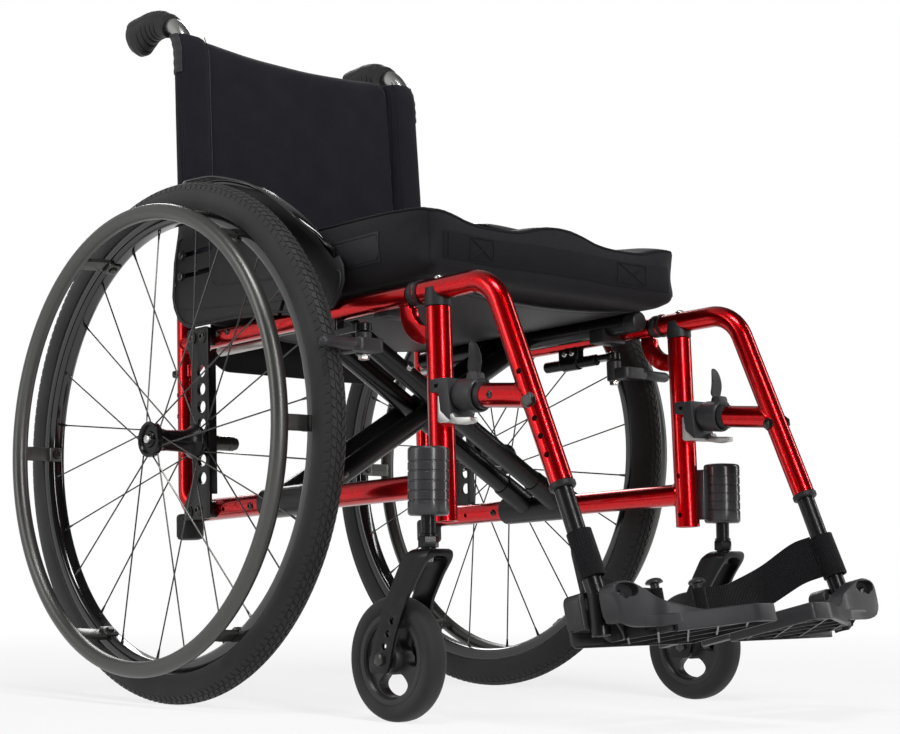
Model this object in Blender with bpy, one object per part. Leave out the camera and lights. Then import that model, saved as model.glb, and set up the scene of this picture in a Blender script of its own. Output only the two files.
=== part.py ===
# Folding wheelchair: two side frames joined by a scissor cross-brace.
# Metres, +Z up, the chair faces -Y, and its right side is at -X.
# Each side is modelled once at +X and mirrored to -X.
import math

import bmesh
import bpy
from mathutils import Matrix, Vector

for old in list(bpy.data.objects):
    bpy.data.objects.remove(old, do_unlink=True)

# Driving dimensions
WHEEL_RADIUS = 0.295
WHEEL_X = 0.248
TYRE_HALF = 0.0155
HANDRIM_DROP = 0.040
HANDRIM_RADIUS = WHEEL_RADIUS - HANDRIM_DROP
HANDRIM_X = 0.297
HANDRIM_TUBE = 0.009
SPOKES = 24
HANDRIM_TABS = 6
WHEEL_SIDES = 40
CASTER_RADIUS = 0.0615
CASTER_X = 0.229
CASTER_STEM_Y = -0.4045
CASTER_TRAIL = 0.0445
SEAT_SLOPE = math.radians(2.3)
FRAME_X = 0.190
POST_Y = -0.3815
UPRIGHT_Y = 0.0575
TOP_Z = 0.4168
BOTTOM_Z = 0.2185
TOP_TUBE = 0.011
BOTTOM_TUBE = 0.0125
POST_TUBE = 0.0135
UPRIGHT_TUBE = 0.011
RAIL_X = 0.163
RAIL_Z = 0.4215
RAIL_TUBE = 0.011
BRACE_TUBE = 0.011
BRACE_PITCH = 0.024
BRACE_FRONT_Y = -0.165
BRACE_SPREAD = 0.070
HANGER_TUBE = 0.0118
HANGER_LEAN = math.radians(21.5)
HANGER_END_Z = 0.2075
EXTENSION_TUBE = 0.0093
PLATE_TILT = math.radians(13.3)
PLATE_REACH = 0.162
PLATE_DEPTH = 0.108
PLATE_FRONT = 0.072
HINGE_Z = 0.0960
BACK_TOP_Z = 0.8045
BACK_BOTTOM_Z = 0.458
CANE_BEND = 0.055
CUSHION_HALF = 0.193
CUSHION_BOTTOM_Z = 0.4352
CUSHION_TOP_Z = 0.506
GAP = 0.0003

AXLE_Z = WHEEL_RADIUS
SLOPE = (
    Matrix.Translation((0, 0, AXLE_Z))
    @ Matrix.Rotation(-SEAT_SLOPE, 4, "X")
    @ Matrix.Translation((0, 0, -AXLE_Z))
)


# Shape tools
def solid(points, faces, name="shape"):
    """A mesh object from points and faces, its normals turned outwards."""
    mesh = bpy.data.meshes.new(name)
    mesh.from_pydata([tuple(p) for p in points], [], faces)
    bm = bmesh.new()
    bm.from_mesh(mesh)
    bmesh.ops.remove_doubles(bm, verts=bm.verts, dist=1e-6)
    bmesh.ops.recalc_face_normals(bm, faces=bm.faces)
    if bm.calc_volume(signed=True) < 0:
        bmesh.ops.reverse_faces(bm, faces=bm.faces)
    bm.to_mesh(mesh)
    bm.free()
    obj = bpy.data.objects.new(name, mesh)
    bpy.context.scene.collection.objects.link(obj)
    return obj


def filleted(points, radius, steps=5):
    """The path with each inner corner replaced by an arc."""
    points = [Vector(p) for p in points]
    path = [points[0]]
    for before, corner, after in zip(points, points[1:], points[2:]):
        back = (before - corner).normalized()
        ahead = (after - corner).normalized()
        half = back.angle(ahead) / 2
        reach = radius / math.tan(half)
        middle = corner + (back + ahead).normalized() * (radius / math.sin(half))
        start = corner + back * reach - middle
        turn = math.pi - 2 * half
        axis = start.cross(corner + ahead * reach - middle)
        for k in range(steps + 1):
            path.append(middle + Matrix.Rotation(turn * k / steps, 3, axis) @ start)
    path.append(points[-1])
    return path


def tube(path, radius, sides=10, flat=1.0, phase=0.0):
    """A closed round bar along a path. radius may be a list, one per point."""
    path = [Vector(p) for p in path]
    radii = radius if isinstance(radius, (list, tuple)) else [radius] * len(path)
    steps = [(b - a).normalized() for a, b in zip(path, path[1:])]
    guide = Vector((1, 0, 0)) if abs(steps[0].x) < 0.7 else Vector((0, 0, 1))
    points = []
    for i, p in enumerate(path):
        before = steps[max(i - 1, 0)]
        after = steps[min(i, len(steps) - 1)]
        along = (before + after).normalized()
        stretch = 1 / max(along.dot(before), 0.5)
        across = (guide - along * guide.dot(along)).normalized()
        side = along.cross(across)
        bend = before.cross(after)
        for k in range(sides):
            a = 2 * math.pi * k / sides + phase
            u = math.cos(a) * radii[i] * flat
            v = math.sin(a) * radii[i]
            offset = across * u + side * v
            if bend.length > 1e-6:
                inward = along.cross(bend).normalized()
                offset += inward * offset.dot(inward) * (stretch - 1)
            points.append(p + offset)
    faces = []
    for i in range(len(path) - 1):
        for k in range(sides):
            a, b = i * sides + k, i * sides + (k + 1) % sides
            faces.append((a, b, b + sides, a + sides))
    faces.append(tuple(reversed(range(sides))))
    faces.append(tuple(range(len(points) - sides, len(points))))
    return solid(points, faces)


def turned(profile, centre, along, sides=16, ring=False, phase=0.0):
    """A turned solid. profile lists (distance along the axis, radius)."""
    along = Vector(along).normalized()
    guide = Vector((0, 0, 1)) if abs(along.z) < 0.7 else Vector((0, 1, 0))
    across = (guide - along * guide.dot(along)).normalized()
    side = along.cross(across)
    centre = Vector(centre)
    points = []
    for k in range(sides):
        a = 2 * math.pi * k / sides + phase
        out = across * math.cos(a) + side * math.sin(a)
        points += [centre + along * d + out * max(r, 0.0) for d, r in profile]
    n = len(profile)
    faces = []
    last = n if ring else n - 1
    for k in range(sides):
        here, there = k * n, ((k + 1) % sides) * n
        for i in range(last):
            j = (i + 1) % n
            loop = [here + i, there + i, there + j, here + j]
            if not ring and profile[i][1] <= 0:
                loop = [here + i, there + j, here + j]
            if not ring and profile[j][1] <= 0:
                loop = [here + i, there + i, here + j]
            faces.append(loop)
    return solid(points, faces)


def rod(a, b, radius, sides=10, phase=0.0):
    """A plain cylinder from a to b."""
    a, b = Vector(a), Vector(b)
    d = (b - a).length
    return turned([(0, 0), (0, radius), (d, radius), (d, 0)], a, b - a, sides, phase=phase)


def block(lo, hi, bevel=0.0, segments=1):
    """A box between two corners, its edges bevelled."""
    x0, y0, z0 = lo
    x1, y1, z1 = hi
    points = [(x, y, z) for x in (x0, x1) for y in (y0, y1) for z in (z0, z1)]
    faces = [(0, 1, 3, 2), (4, 6, 7, 5), (0, 4, 5, 1), (2, 3, 7, 6), (0, 2, 6, 4), (1, 5, 7, 3)]
    obj = solid(points, faces)
    if bevel:
        bm = bmesh.new()
        bm.from_mesh(obj.data)
        bmesh.ops.bevel(bm, geom=bm.edges[:], offset=bevel, segments=segments, affect="EDGES")
        bm.to_mesh(obj.data)
        bm.free()
    return obj


def prism(outline, axis, lo, hi):
    """An outline of (u, v) points pulled along X, Y or Z from lo to hi."""
    def place(u, v, w):
        return {"X": (w, u, v), "Y": (u, w, v), "Z": (u, v, w)}[axis]

    n = len(outline)
    points = [place(u, v, lo) for u, v in outline] + [place(u, v, hi) for u, v in outline]
    faces = [tuple(range(n)), tuple(range(2 * n - 1, n - 1, -1))]
    for i in range(n):
        j = (i + 1) % n
        faces.append((i, j, n + j, n + i))
    return solid(points, faces)


def arc(centre, radius, start, end, steps):
    """Points on an arc in a plane, angles in degrees."""
    found = []
    for k in range(steps + 1):
        a = math.radians(start + (end - start) * k / steps)
        found.append((centre[0] + radius * math.cos(a), centre[1] + radius * math.sin(a)))
    return found


def boolean(base, tool, operation):
    mod = base.modifiers.new("b", "BOOLEAN")
    mod.operation = operation
    mod.solver = "EXACT"
    mod.object = tool
    bpy.context.view_layer.update()
    depsgraph = bpy.context.evaluated_depsgraph_get()
    mesh = bpy.data.meshes.new_from_object(base.evaluated_get(depsgraph))
    base.modifiers.clear()
    base.data = mesh
    bpy.data.objects.remove(tool, do_unlink=True)
    return base


def fuse(base, *tools):
    for tool in tools:
        boolean(base, tool, "UNION")
    return base


def carve(base, *tools):
    for tool in tools:
        boolean(base, tool, "DIFFERENCE")
    return base


def gathered(shapes):
    """Separate shapes held in one mesh, to fuse or carve in one step."""
    bm = bmesh.new()
    for obj in shapes:
        bm.from_mesh(obj.data)
        bpy.data.objects.remove(obj, do_unlink=True)
    mesh = bpy.data.meshes.new("gathered")
    bm.to_mesh(mesh)
    bm.free()
    obj = bpy.data.objects.new("gathered", mesh)
    bpy.context.scene.collection.objects.link(obj)
    return obj


def clear(radius, sides):
    """Radius of a hole with flat sides that still clears a round bar of this radius."""
    return (radius + GAP) / math.cos(math.pi / sides)


def moved(obj, matrix):
    obj.data.transform(matrix)
    return obj


def sloped(obj):
    return moved(obj, SLOPE)


# Materials
def material(name, colour, metallic, roughness):
    mat = bpy.data.materials.new(name)
    mat.use_nodes = True
    shader = mat.node_tree.nodes["Principled BSDF"]
    shader.inputs["Base Color"].default_value = (*colour, 1)
    shader.inputs["Metallic"].default_value = metallic
    shader.inputs["Roughness"].default_value = roughness
    mat.diffuse_color = (*colour, 1)
    return mat


RED = ((0.42, 0.004, 0.008), 0.6, 0.22)
BLACK = ((0.016, 0.016, 0.017), 0.5, 0.38)
GREY = ((0.035, 0.035, 0.038), 0.0, 0.5)
RUBBER = ((0.014, 0.014, 0.014), 0.0, 0.75)
CLOTH = ((0.012, 0.012, 0.013), 0.0, 0.9)
STEEL = ((0.6, 0.6, 0.6), 1.0, 0.3)

pieces = {}


def keep(name, obj, look):
    """Clean a finished shape, name it and give it its own material."""
    bm = bmesh.new()
    bm.from_mesh(obj.data)
    bmesh.ops.remove_doubles(bm, verts=bm.verts, dist=2e-5)
    bmesh.ops.dissolve_degenerate(bm, edges=bm.edges, dist=1e-5)
    bmesh.ops.dissolve_limit(
        bm, angle_limit=0.004, verts=bm.verts, edges=bm.edges, use_dissolve_boundaries=False
    )
    bmesh.ops.triangulate(bm, faces=bm.faces)
    bm.to_mesh(obj.data)
    bm.free()
    obj.name = name
    obj.data.name = name
    obj.data.materials.clear()
    obj.data.materials.append(material(name + "_finish", *look))
    obj.data.shade_smooth()
    obj.data.set_sharp_from_angle(angle=math.radians(35))
    pieces[name] = obj
    return obj


def pair(name, obj, look):
    """Keep a +X piece as the left one and its mirror image as the right one."""
    keep(name + "_left", obj, look)
    mesh = obj.data.copy()
    mesh.transform(Matrix.Scale(-1, 4, (1, 0, 0)))
    mesh.flip_normals()
    other = bpy.data.objects.new(name + "_right", mesh)
    bpy.context.scene.collection.objects.link(other)
    mesh.name = name + "_right"
    mesh.materials.clear()
    mesh.materials.append(material(name + "_right_finish", *look))
    pieces[name + "_right"] = other


# Lines that several pieces share, in the level frame before the seat slope
X = FRAME_X
LOWER_PATH = filleted(
    [(X, POST_Y, BOTTOM_Z), (X, UPRIGHT_Y, BOTTOM_Z), (X, UPRIGHT_Y, 0.455)], 0.028, 4
)
TOP_PATH = [(X, UPRIGHT_Y, TOP_Z), (X, -0.3425, TOP_Z)]
POST_LOW = (X, POST_Y, 0.181)
POST_HIGH = (X, POST_Y, 0.3985)
HANGER_KNEE_Y = -0.4610
HANGER_END_Y = HANGER_KNEE_Y - (TOP_Z - HANGER_END_Z) * math.tan(HANGER_LEAN)
HANGER_PATH = filleted(
    [(X, -0.3500, TOP_Z), (X, HANGER_KNEE_Y, TOP_Z), (X, HANGER_END_Y, HANGER_END_Z)], 0.045, 6
)
CANE_FOOT = Vector((X, UPRIGHT_Y, 0.4560))
CANE_WAIST = Vector((0.1812, 0.0590, 0.5600))
CANE_KNEE = Vector((0.1782, 0.0700, 0.8335))
CANE_END = Vector((0.1780, 0.1420, 0.8285))
CANE_PATH = filleted([CANE_FOOT, CANE_WAIST, CANE_KNEE, CANE_END], CANE_BEND, 4)
PIVOT_Z = BOTTOM_Z + (RAIL_Z - BOTTOM_Z) * FRAME_X / (FRAME_X + RAIL_X)


def lower_bar(sides=10, hole=False):
    bent = len(LOWER_PATH)
    radii = [BOTTOM_TUBE] * 2
    radii += [
        BOTTOM_TUBE + (UPRIGHT_TUBE - BOTTOM_TUBE) * k / (bent - 3) for k in range(1, bent - 1)
    ]
    if hole:
        radii = [clear(r, sides) for r in radii]
    return tube(LOWER_PATH, radii, sides)


def top_bar(sides=10, hole=False):
    return tube(TOP_PATH, clear(TOP_TUBE, sides) if hole else TOP_TUBE, sides)


def post_bar(sides=12, hole=False):
    return rod(POST_LOW, POST_HIGH, clear(POST_TUBE, sides) if hole else POST_TUBE, sides)


# Side frame: bottom tube bent up into the rear upright, top tube, front post, two gussets
def make_side_frame():
    frame = lower_bar()
    fuse(frame, top_bar(), post_bar())
    front = (-0.368, 0.403)
    outline = [(-0.3425, 0.410), (-0.3270, 0.410)] + arc(front, 0.041, 0, -98, 6)
    outline += arc(front, 0.0215, -100, 0, 4) + [(-0.3425, 0.403)]
    fuse(frame, prism(outline, "X", X - 0.0045, X + 0.0045))
    rear = (UPRIGHT_Y - 0.004, TOP_Z - 0.004)
    outline = arc(rear, 0.036, 175, 275, 4) + arc(rear, 0.0215, 275, 175, 3)
    fuse(frame, prism(outline, "X", X - 0.004, X + 0.004))
    carve(
        frame,
        gathered([
            rod((X, POST_Y, 0.340), (X, POST_Y, 0.410), 0.0100, 12),
            rod((X, UPRIGHT_Y, 0.424), (X, UPRIGHT_Y, 0.470), 0.0090, 10),
        ]),
    )
    pair("side_frame", sloped(frame), RED)


def make_frame_foot():
    foot = turned(
        [(0, 0), (0, 0.0125), (0.004, 0.0155), (0.030, 0.0155), (0.030, 0)],
        (X, UPRIGHT_Y - 0.004, 0.1862), (0, 0, 1), 12,
    )
    carve(foot, lower_bar(hole=True))
    pair("frame_foot", sloped(foot), RUBBER)


# Back cane with its push grip
def make_back_cane():
    cane = tube(CANE_PATH, 0.0105, 10)
    fuse(cane, rod((X, UPRIGHT_Y, 0.4265), (X, UPRIGHT_Y, 0.460), 0.0087, 10))
    pair("back_cane", sloped(cane), BLACK)


def make_push_grip():
    x = CANE_END.x
    # (y, z, half height, half width) along the grip, then its lean
    stations = [
        (0.0975, 0.8215, 0.0140, 0.0140, 36), (0.1035, 0.8250, 0.0150, 0.0150, 30),
        (0.1160, 0.8295, 0.0165, 0.0150, 18), (0.1240, 0.8312, 0.0182, 0.0162, 10),
        (0.1330, 0.8320, 0.0186, 0.0152, 4), (0.1420, 0.8312, 0.0206, 0.0164, 0),
        (0.1500, 0.8288, 0.0228, 0.0154, -3), (0.1590, 0.8258, 0.0258, 0.0166, -4),
        (0.1690, 0.8262, 0.0252, 0.0160, -4), (0.1795, 0.8290, 0.0212, 0.0148, -4),
        (0.1860, 0.8312, 0.0140, 0.0095, -4),
    ]
    sides = 12
    points = []
    for y, z, high, wide, lean in stations:
        c, s = math.cos(math.radians(lean)), math.sin(math.radians(lean))
        for k in range(sides):
            a = 2 * math.pi * k / sides
            v = high * math.sin(a)
            points.append((x + wide * math.cos(a), y - v * s, z + v * c))
    faces = [tuple(range(sides)), tuple(range(len(points) - 1, len(points) - sides - 1, -1))]
    for i in range(len(stations) - 1):
        for k in range(sides):
            a, b = i * sides + k, i * sides + (k + 1) % sides
            faces.append((a, b, b + sides, a + sides))
    grip = solid(points, faces)
    tip = (CANE_END - CANE_PATH[-2]).normalized() * GAP
    carve(grip, tube(CANE_PATH[:-1] + [CANE_END + tip], clear(0.0105, 10), 10))
    pair("push_grip", sloped(grip), RUBBER)


# Axle plate with its row of axle positions
AXLE_PITCH = 0.0206
PLATE_X = 0.2066
AXLE_HOLES = (-2, -1, 1, 2, 3, 4)


def make_axle_plate():
    outline = [
        (-0.0140, 0.2070), (0.0360, 0.2070), (0.0365, 0.2250), (0.0195, 0.2480),
        (0.0195, 0.3920), (0.0270, 0.4070), (0.0270, 0.4290), (-0.0140, 0.4290),
    ]
    plate = prism(outline, "X", PLATE_X, PLATE_X + 0.0040)
    fuse(
        plate,
        block((0.1980, -0.0130, 0.4060), (PLATE_X + 0.0030, 0.0260, 0.4280)),
        block((0.1980, -0.0130, 0.2080), (PLATE_X + 0.0030, 0.0350, 0.2265)),
        block((0.1990, -0.0140, 0.2350), (PLATE_X + 0.0030, -0.0100, 0.4000)),
    )
    carve(plate, top_bar(hole=True), lower_bar(hole=True))
    holes = [
        rod((0.19, 0, AXLE_Z + AXLE_PITCH * k), (0.22, 0, AXLE_Z + AXLE_PITCH * k), 0.0070, 10)
        for k in AXLE_HOLES
    ]
    holes.append(rod((0.19, 0, AXLE_Z), (0.22, 0, AXLE_Z), 0.0091, 12))
    carve(plate, gathered(holes))
    pair("axle_plate", sloped(plate), BLACK)


def make_axle():
    profile = [
        (0.1620, 0), (0.1620, 0.0072), (0.1640, 0.0086), (0.1990, 0.0086), (0.1990, 0.0096),
        (0.2062, 0.0096), (0.2062, 0.0087), (0.2110, 0.0087), (0.2110, 0.0130),
        (0.2160, 0.0130), (0.2160, 0.0056), (0.2765, 0.0056), (0.2765, 0),
    ]
    pair("axle", turned(profile, (0, 0, AXLE_Z), (1, 0, 0), 12), STEEL)


def make_release_button():
    profile = [(0.2811, 0), (0.2811, 0.0051), (0.2862, 0.0051), (0.2876, 0.0036), (0.2876, 0)]
    pair("release_button", turned(profile, (0, 0, AXLE_Z), (1, 0, 0), 10), STEEL)


# Rear wheel: tyre, rim, spoked hub, handrim with its tabs
def make_rear_wheel():
    r, h = WHEEL_RADIUS, TYRE_HALF
    side = [(-0.0108, -0.0330), (-h + 0.001, -0.0265), (-h, -0.0160), (-0.0105, -0.0048), (-0.0035, 0)]
    profile = [(x, r + d) for x, d in side] + [(-x, r + d) for x, d in reversed(side)]
    tyre = turned(profile, (WHEEL_X, 0, AXLE_Z), (1, 0, 0), WHEEL_SIDES, ring=True)
    pair("rear_tyre", tyre, RUBBER)
    low = r - 0.0470
    side = [(-0.0112, r - 0.0333), (-0.0112, low + 0.0050), (-0.0060, low)]
    profile = side + [(-x, y) for x, y in reversed(side)]
    pair("rear_rim", turned(profile, (WHEEL_X, 0, AXLE_Z), (1, 0, 0), WHEEL_SIDES, ring=True), BLACK)
    profile = [
        (0.2168, 0.0061), (0.2168, 0.0180), (0.2185, 0.0197), (0.2225, 0.0197), (0.2330, 0.0130),
        (0.2600, 0.0125), (0.2730, 0.0165), (0.2765, 0.0200), (0.2845, 0.0200),
        (0.2845, 0.0160), (0.2815, 0.0130), (0.2815, 0.0061),
    ]
    hub = turned(profile, (0, 0, AXLE_Z), (1, 0, 0), 14, ring=True)
    wires = []
    tip = (low - 0.0004) * math.cos(math.pi / WHEEL_SIDES)
    for k in range(SPOKES):
        outer = k % 2 == 0
        x0 = 0.2775 if outer else 0.2205
        x1 = WHEEL_X + (0.003 if outer else -0.003)
        a = 2 * math.pi * (k + 0.5) / SPOKES
        b = a + (0.6 if outer else -0.6)
        start = Vector((x0, 0.0150 * math.sin(b), AXLE_Z + 0.0150 * math.cos(b)))
        end = Vector((x1, tip * math.sin(a), AXLE_Z + tip * math.cos(a)))
        wires.append(rod(start, end, 0.0012, 4))
    fuse(hub, gathered(wires))
    pair("rear_hub", hub, BLACK)
    rail = []
    for k in range(8):
        a = 2 * math.pi * k / 8
        rail.append((HANDRIM_TUBE * math.cos(a), HANDRIM_RADIUS + HANDRIM_TUBE * math.sin(a)))
    rail.reverse()
    handrim = turned(rail, (HANDRIM_X, 0, AXLE_Z), (1, 0, 0), WHEEL_SIDES, ring=True)
    bracket = [
        (WHEEL_X + 0.0115, low + 0.0015), (HANDRIM_X - 0.0030, HANDRIM_RADIUS - 0.0055),
        (HANDRIM_X - 0.0030, HANDRIM_RADIUS - 0.0005), (WHEEL_X + 0.0115, low + 0.0065),
    ]
    tabs = []
    for k in range(HANDRIM_TABS):
        tab = prism(bracket, "Y", -0.0085, 0.0085)
        turn = Matrix.Rotation(math.radians(29 + 60 * k), 4, "X")
        tabs.append(moved(tab, Matrix.Translation((0, 0, AXLE_Z)) @ turn))
    fuse(handrim, gathered(tabs))
    pair("handrim", handrim, BLACK)


# Front caster
def make_caster():
    x, y, z = CASTER_X, CASTER_STEM_Y, CASTER_RADIUS
    wheel_y = y + CASTER_TRAIL
    ribs = []
    for k in range(5):
        low = 0.2120 + 0.0100 * k
        ribs += [(low, 0.0205), (low, 0.0190), (low + 0.0020, 0.0190), (low + 0.0020, 0.0205)]
    body = turned(
        [(0.2010, 0), (0.2010, 0.0185), (0.2040, 0.0205)] + ribs
        + [(0.2640, 0.0205), (0.2690, 0.0160), (0.2690, 0)],
        (x, y, 0), (0, 0, 1), 14,
    )
    fuse(body, block((0.2005, y + 0.0060, 0.2050), (x - 0.004, y + 0.0300, 0.2620)))
    carve(body, sloped(post_bar(hole=True)), sloped(lower_bar(hole=True)))
    carve(body, rod((x, y, 0.19), (x, y, 0.2605), clear(0.0074, 10), 10))
    pair("caster_housing", body, GREY)
    crown = block((x - 0.0178, y - 0.0195, 0.1400), (x + 0.0178, y + 0.0260, 0.1690), 0.003)
    blade = [
        (y - 0.0190, 0.1620), (y + 0.0240, 0.1620), (wheel_y + 0.0100, z + 0.0060),
        (wheel_y + 0.0085, z - 0.0060), (wheel_y, z - 0.0110), (wheel_y - 0.0090, z - 0.0060),
        (wheel_y - 0.0120, z + 0.0060), (y - 0.0040, 0.1180), (y - 0.0170, 0.1380),
    ]
    fuse(
        crown,
        prism(blade, "X", x + 0.0140, x + 0.0177),
        prism(blade, "X", x - 0.0177, x - 0.0140),
        rod((x, y, 0.160), (x, y, 0.2590), 0.0074, 10),
        rod((x, y, 0.1680), (x, y, 0.1820), 0.0100, 6),
        rod((x - 0.0215, wheel_y, z), (x + 0.0215, wheel_y, z), 0.0040, 8),
        rod((x - 0.0210, wheel_y, z), (x - 0.0172, wheel_y, z), 0.0070, 8),
        rod((x + 0.0172, wheel_y, z), (x + 0.0210, wheel_y, z), 0.0070, 8),
    )
    pair("caster_fork", crown, BLACK)
    centre = (x, wheel_y, z)
    profile = [(-0.0128, 0.0044), (-0.0128, 0.0115), (0.0128, 0.0115), (0.0128, 0.0044)]
    hub = turned(profile, centre, (1, 0, 0), 12, ring=True)
    profile = [(-0.0105, 0.0385), (-0.0105, 0.0446), (0.0105, 0.0446), (0.0105, 0.0385)]
    rim = turned(profile, centre, (1, 0, 0), 24, ring=True)
    arms = []
    for k in range(3):
        arm = block((-0.0045, -0.0075, 0.0090), (0.0045, 0.0075, 0.0405))
        arms.append(moved(arm, Matrix.Translation(centre) @ Matrix.Rotation(2.0944 * k + 0.4, 4, "X")))
    fuse(hub, gathered(arms), rim)
    pair("caster_wheel", hub, GREY)
    r = CASTER_RADIUS
    side = [(-0.0105, r - 0.0166), (-0.0125, r - 0.0100), (-0.0110, r - 0.0030), (-0.0045, r)]
    profile = side + [(-a, b) for a, b in reversed(side)]
    pair("caster_tyre", turned(profile, centre, (1, 0, 0), 28, ring=True), RUBBER)


# Wheel lock: a clamp under the top tube and an arm that presses on the tyre
LOCK_Z = 0.3690
LOCK_ROD = 0.0062
LOCK_X = 0.1975
LOCK_Y = -0.2732
ROD_Y = -math.sqrt((WHEEL_RADIUS + LOCK_ROD + 0.0006) ** 2 - (LOCK_Z - AXLE_Z) ** 2)


def make_wheel_lock():
    clamp = block((0.1830, -0.2270, 0.3845), (0.1960, -0.1950, 0.4120), 0.0012)
    fuse(
        clamp,
        rod((0.1905, -0.2530, 0.3900), (0.1905, -0.1690, 0.3900), 0.0068, 10),
        block((0.1870, LOCK_Y, 0.3876), (0.2010, -0.2200, 0.3956)),
        rod((LOCK_X, LOCK_Y, 0.3868), (LOCK_X, LOCK_Y, 0.3960), 0.0088, 12),
        rod((LOCK_X, LOCK_Y, 0.3560), (LOCK_X, LOCK_Y, 0.3900), 0.0034, 8),
        rod((LOCK_X, LOCK_Y, 0.3560), (LOCK_X, LOCK_Y, 0.3616), 0.0060, 6),
    )
    carve(clamp, top_bar(hole=True))
    pair("lock_clamp", sloped(clamp), BLACK)
    profile = [(0.3622, 0.0038), (0.3622, 0.0088), (0.3862, 0.0088), (0.3862, 0.0038)]
    arm = turned(profile, (LOCK_X, LOCK_Y, 0), (0, 0, 1), 12, ring=True)
    bar = turned(
        [(0.0080, 0), (0.0080, LOCK_ROD), (0.0700, LOCK_ROD), (0.0735, LOCK_ROD - 0.0018),
         (0.0755, 0)],
        (LOCK_X, ROD_Y, LOCK_Z), (1, 0, 0), 10,
    )
    web = prism(
        [(LOCK_X - 0.0070, LOCK_Y - 0.0050), (LOCK_X - 0.0070, ROD_Y - 0.0040),
         (LOCK_X - 0.0020, ROD_Y - 0.0075), (LOCK_X + 0.0240, ROD_Y - 0.0075),
         (LOCK_X + 0.0290, ROD_Y - 0.0030), (LOCK_X + 0.0290, ROD_Y + 0.0060),
         (LOCK_X + 0.0070, LOCK_Y - 0.0050)],
        "Z", LOCK_Z - 0.0060, LOCK_Z + 0.0075,
    )
    fuse(arm, web, bar)
    pair("lock_arm", sloped(arm), BLACK)


# Cradle that the seat rail rests in when the chair is open
def make_rail_saddle():
    cradle = block((0.1490, -0.3010, 0.4020), (0.1880, -0.2790, 0.4190), 0.0012)
    rail = rod((RAIL_X, -0.31, RAIL_Z), (RAIL_X, -0.27, RAIL_Z), clear(RAIL_TUBE, 12), 12)
    carve(cradle, rail, top_bar(hole=True))
    pair("rail_saddle", sloped(cradle), BLACK)


# Side guard with its mudguard flange over the tyre
GUARD_RADIUS = 0.3060


def make_side_guard():
    def on_arc(radius, y):
        return (y, AXLE_Z + math.sqrt(radius ** 2 - y ** 2))

    crest = [0.046, 0.030, 0.008, -0.018, -0.045, -0.075, -0.105, -0.135, -0.165, -0.195, -0.2180]
    outline = [on_arc(GUARD_RADIUS, y) for y in crest]
    outline += [
        (-0.2400, 0.4830), (-0.2520, 0.4640), (-0.2530, 0.4450), (-0.2440, 0.4270),
        (-0.2340, 0.4170), (-0.1900, 0.4165), (-0.1300, 0.4245), (-0.0600, 0.4305),
        (0.0300, 0.4320), (0.0420, 0.4370), (0.0520, 0.4460), (0.0600, 0.4600),
        (0.0630, 0.4740), (0.0590, 0.5147), (0.0495, 0.5500),
    ]
    guard = prism(outline, "X", 0.2036, 0.2064)
    band = [on_arc(GUARD_RADIUS, y) for y in crest]
    band += [on_arc(GUARD_RADIUS - 0.0026, y) for y in reversed(crest)]
    fuse(
        guard,
        prism(band, "X", 0.2050, 0.2245),
        block((0.1985, -0.2050, 0.4180), (0.2050, -0.1750, 0.4260)),
        block((0.1985, 0.0400, 0.4420), (0.2050, 0.0500, 0.4540)),
    )
    carve(guard, top_bar(hole=True), lower_bar(hole=True))
    slots = [
        block((0.20, -0.0190, 0.5150), (0.21, 0.0060, 0.5210)),
        block((0.20, -0.0190, 0.4910), (0.21, 0.0060, 0.4970)),
        moved(
            block((-0.01, -0.0025, -0.0120), (0.01, 0.0025, 0.0120)),
            Matrix.Translation((0.205, -0.1560, 0.4420)) @ Matrix.Rotation(0.5, 4, "X"),
        ),
    ]
    carve(guard, gathered(slots))
    pair("side_guard", sloped(guard), GREY)


# Swing-away hanger: bent tube, bushing, latch and thumb lever
STRUT_START = (X, -0.4325, 0.3027)
STRUT_END = (X, -0.5085, 0.2940)
LEVER_Y = -0.4395
LEVER_Z = 0.3262


def on_hanger(z):
    return HANGER_KNEE_Y - (TOP_Z - z) * math.tan(HANGER_LEAN)


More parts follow.
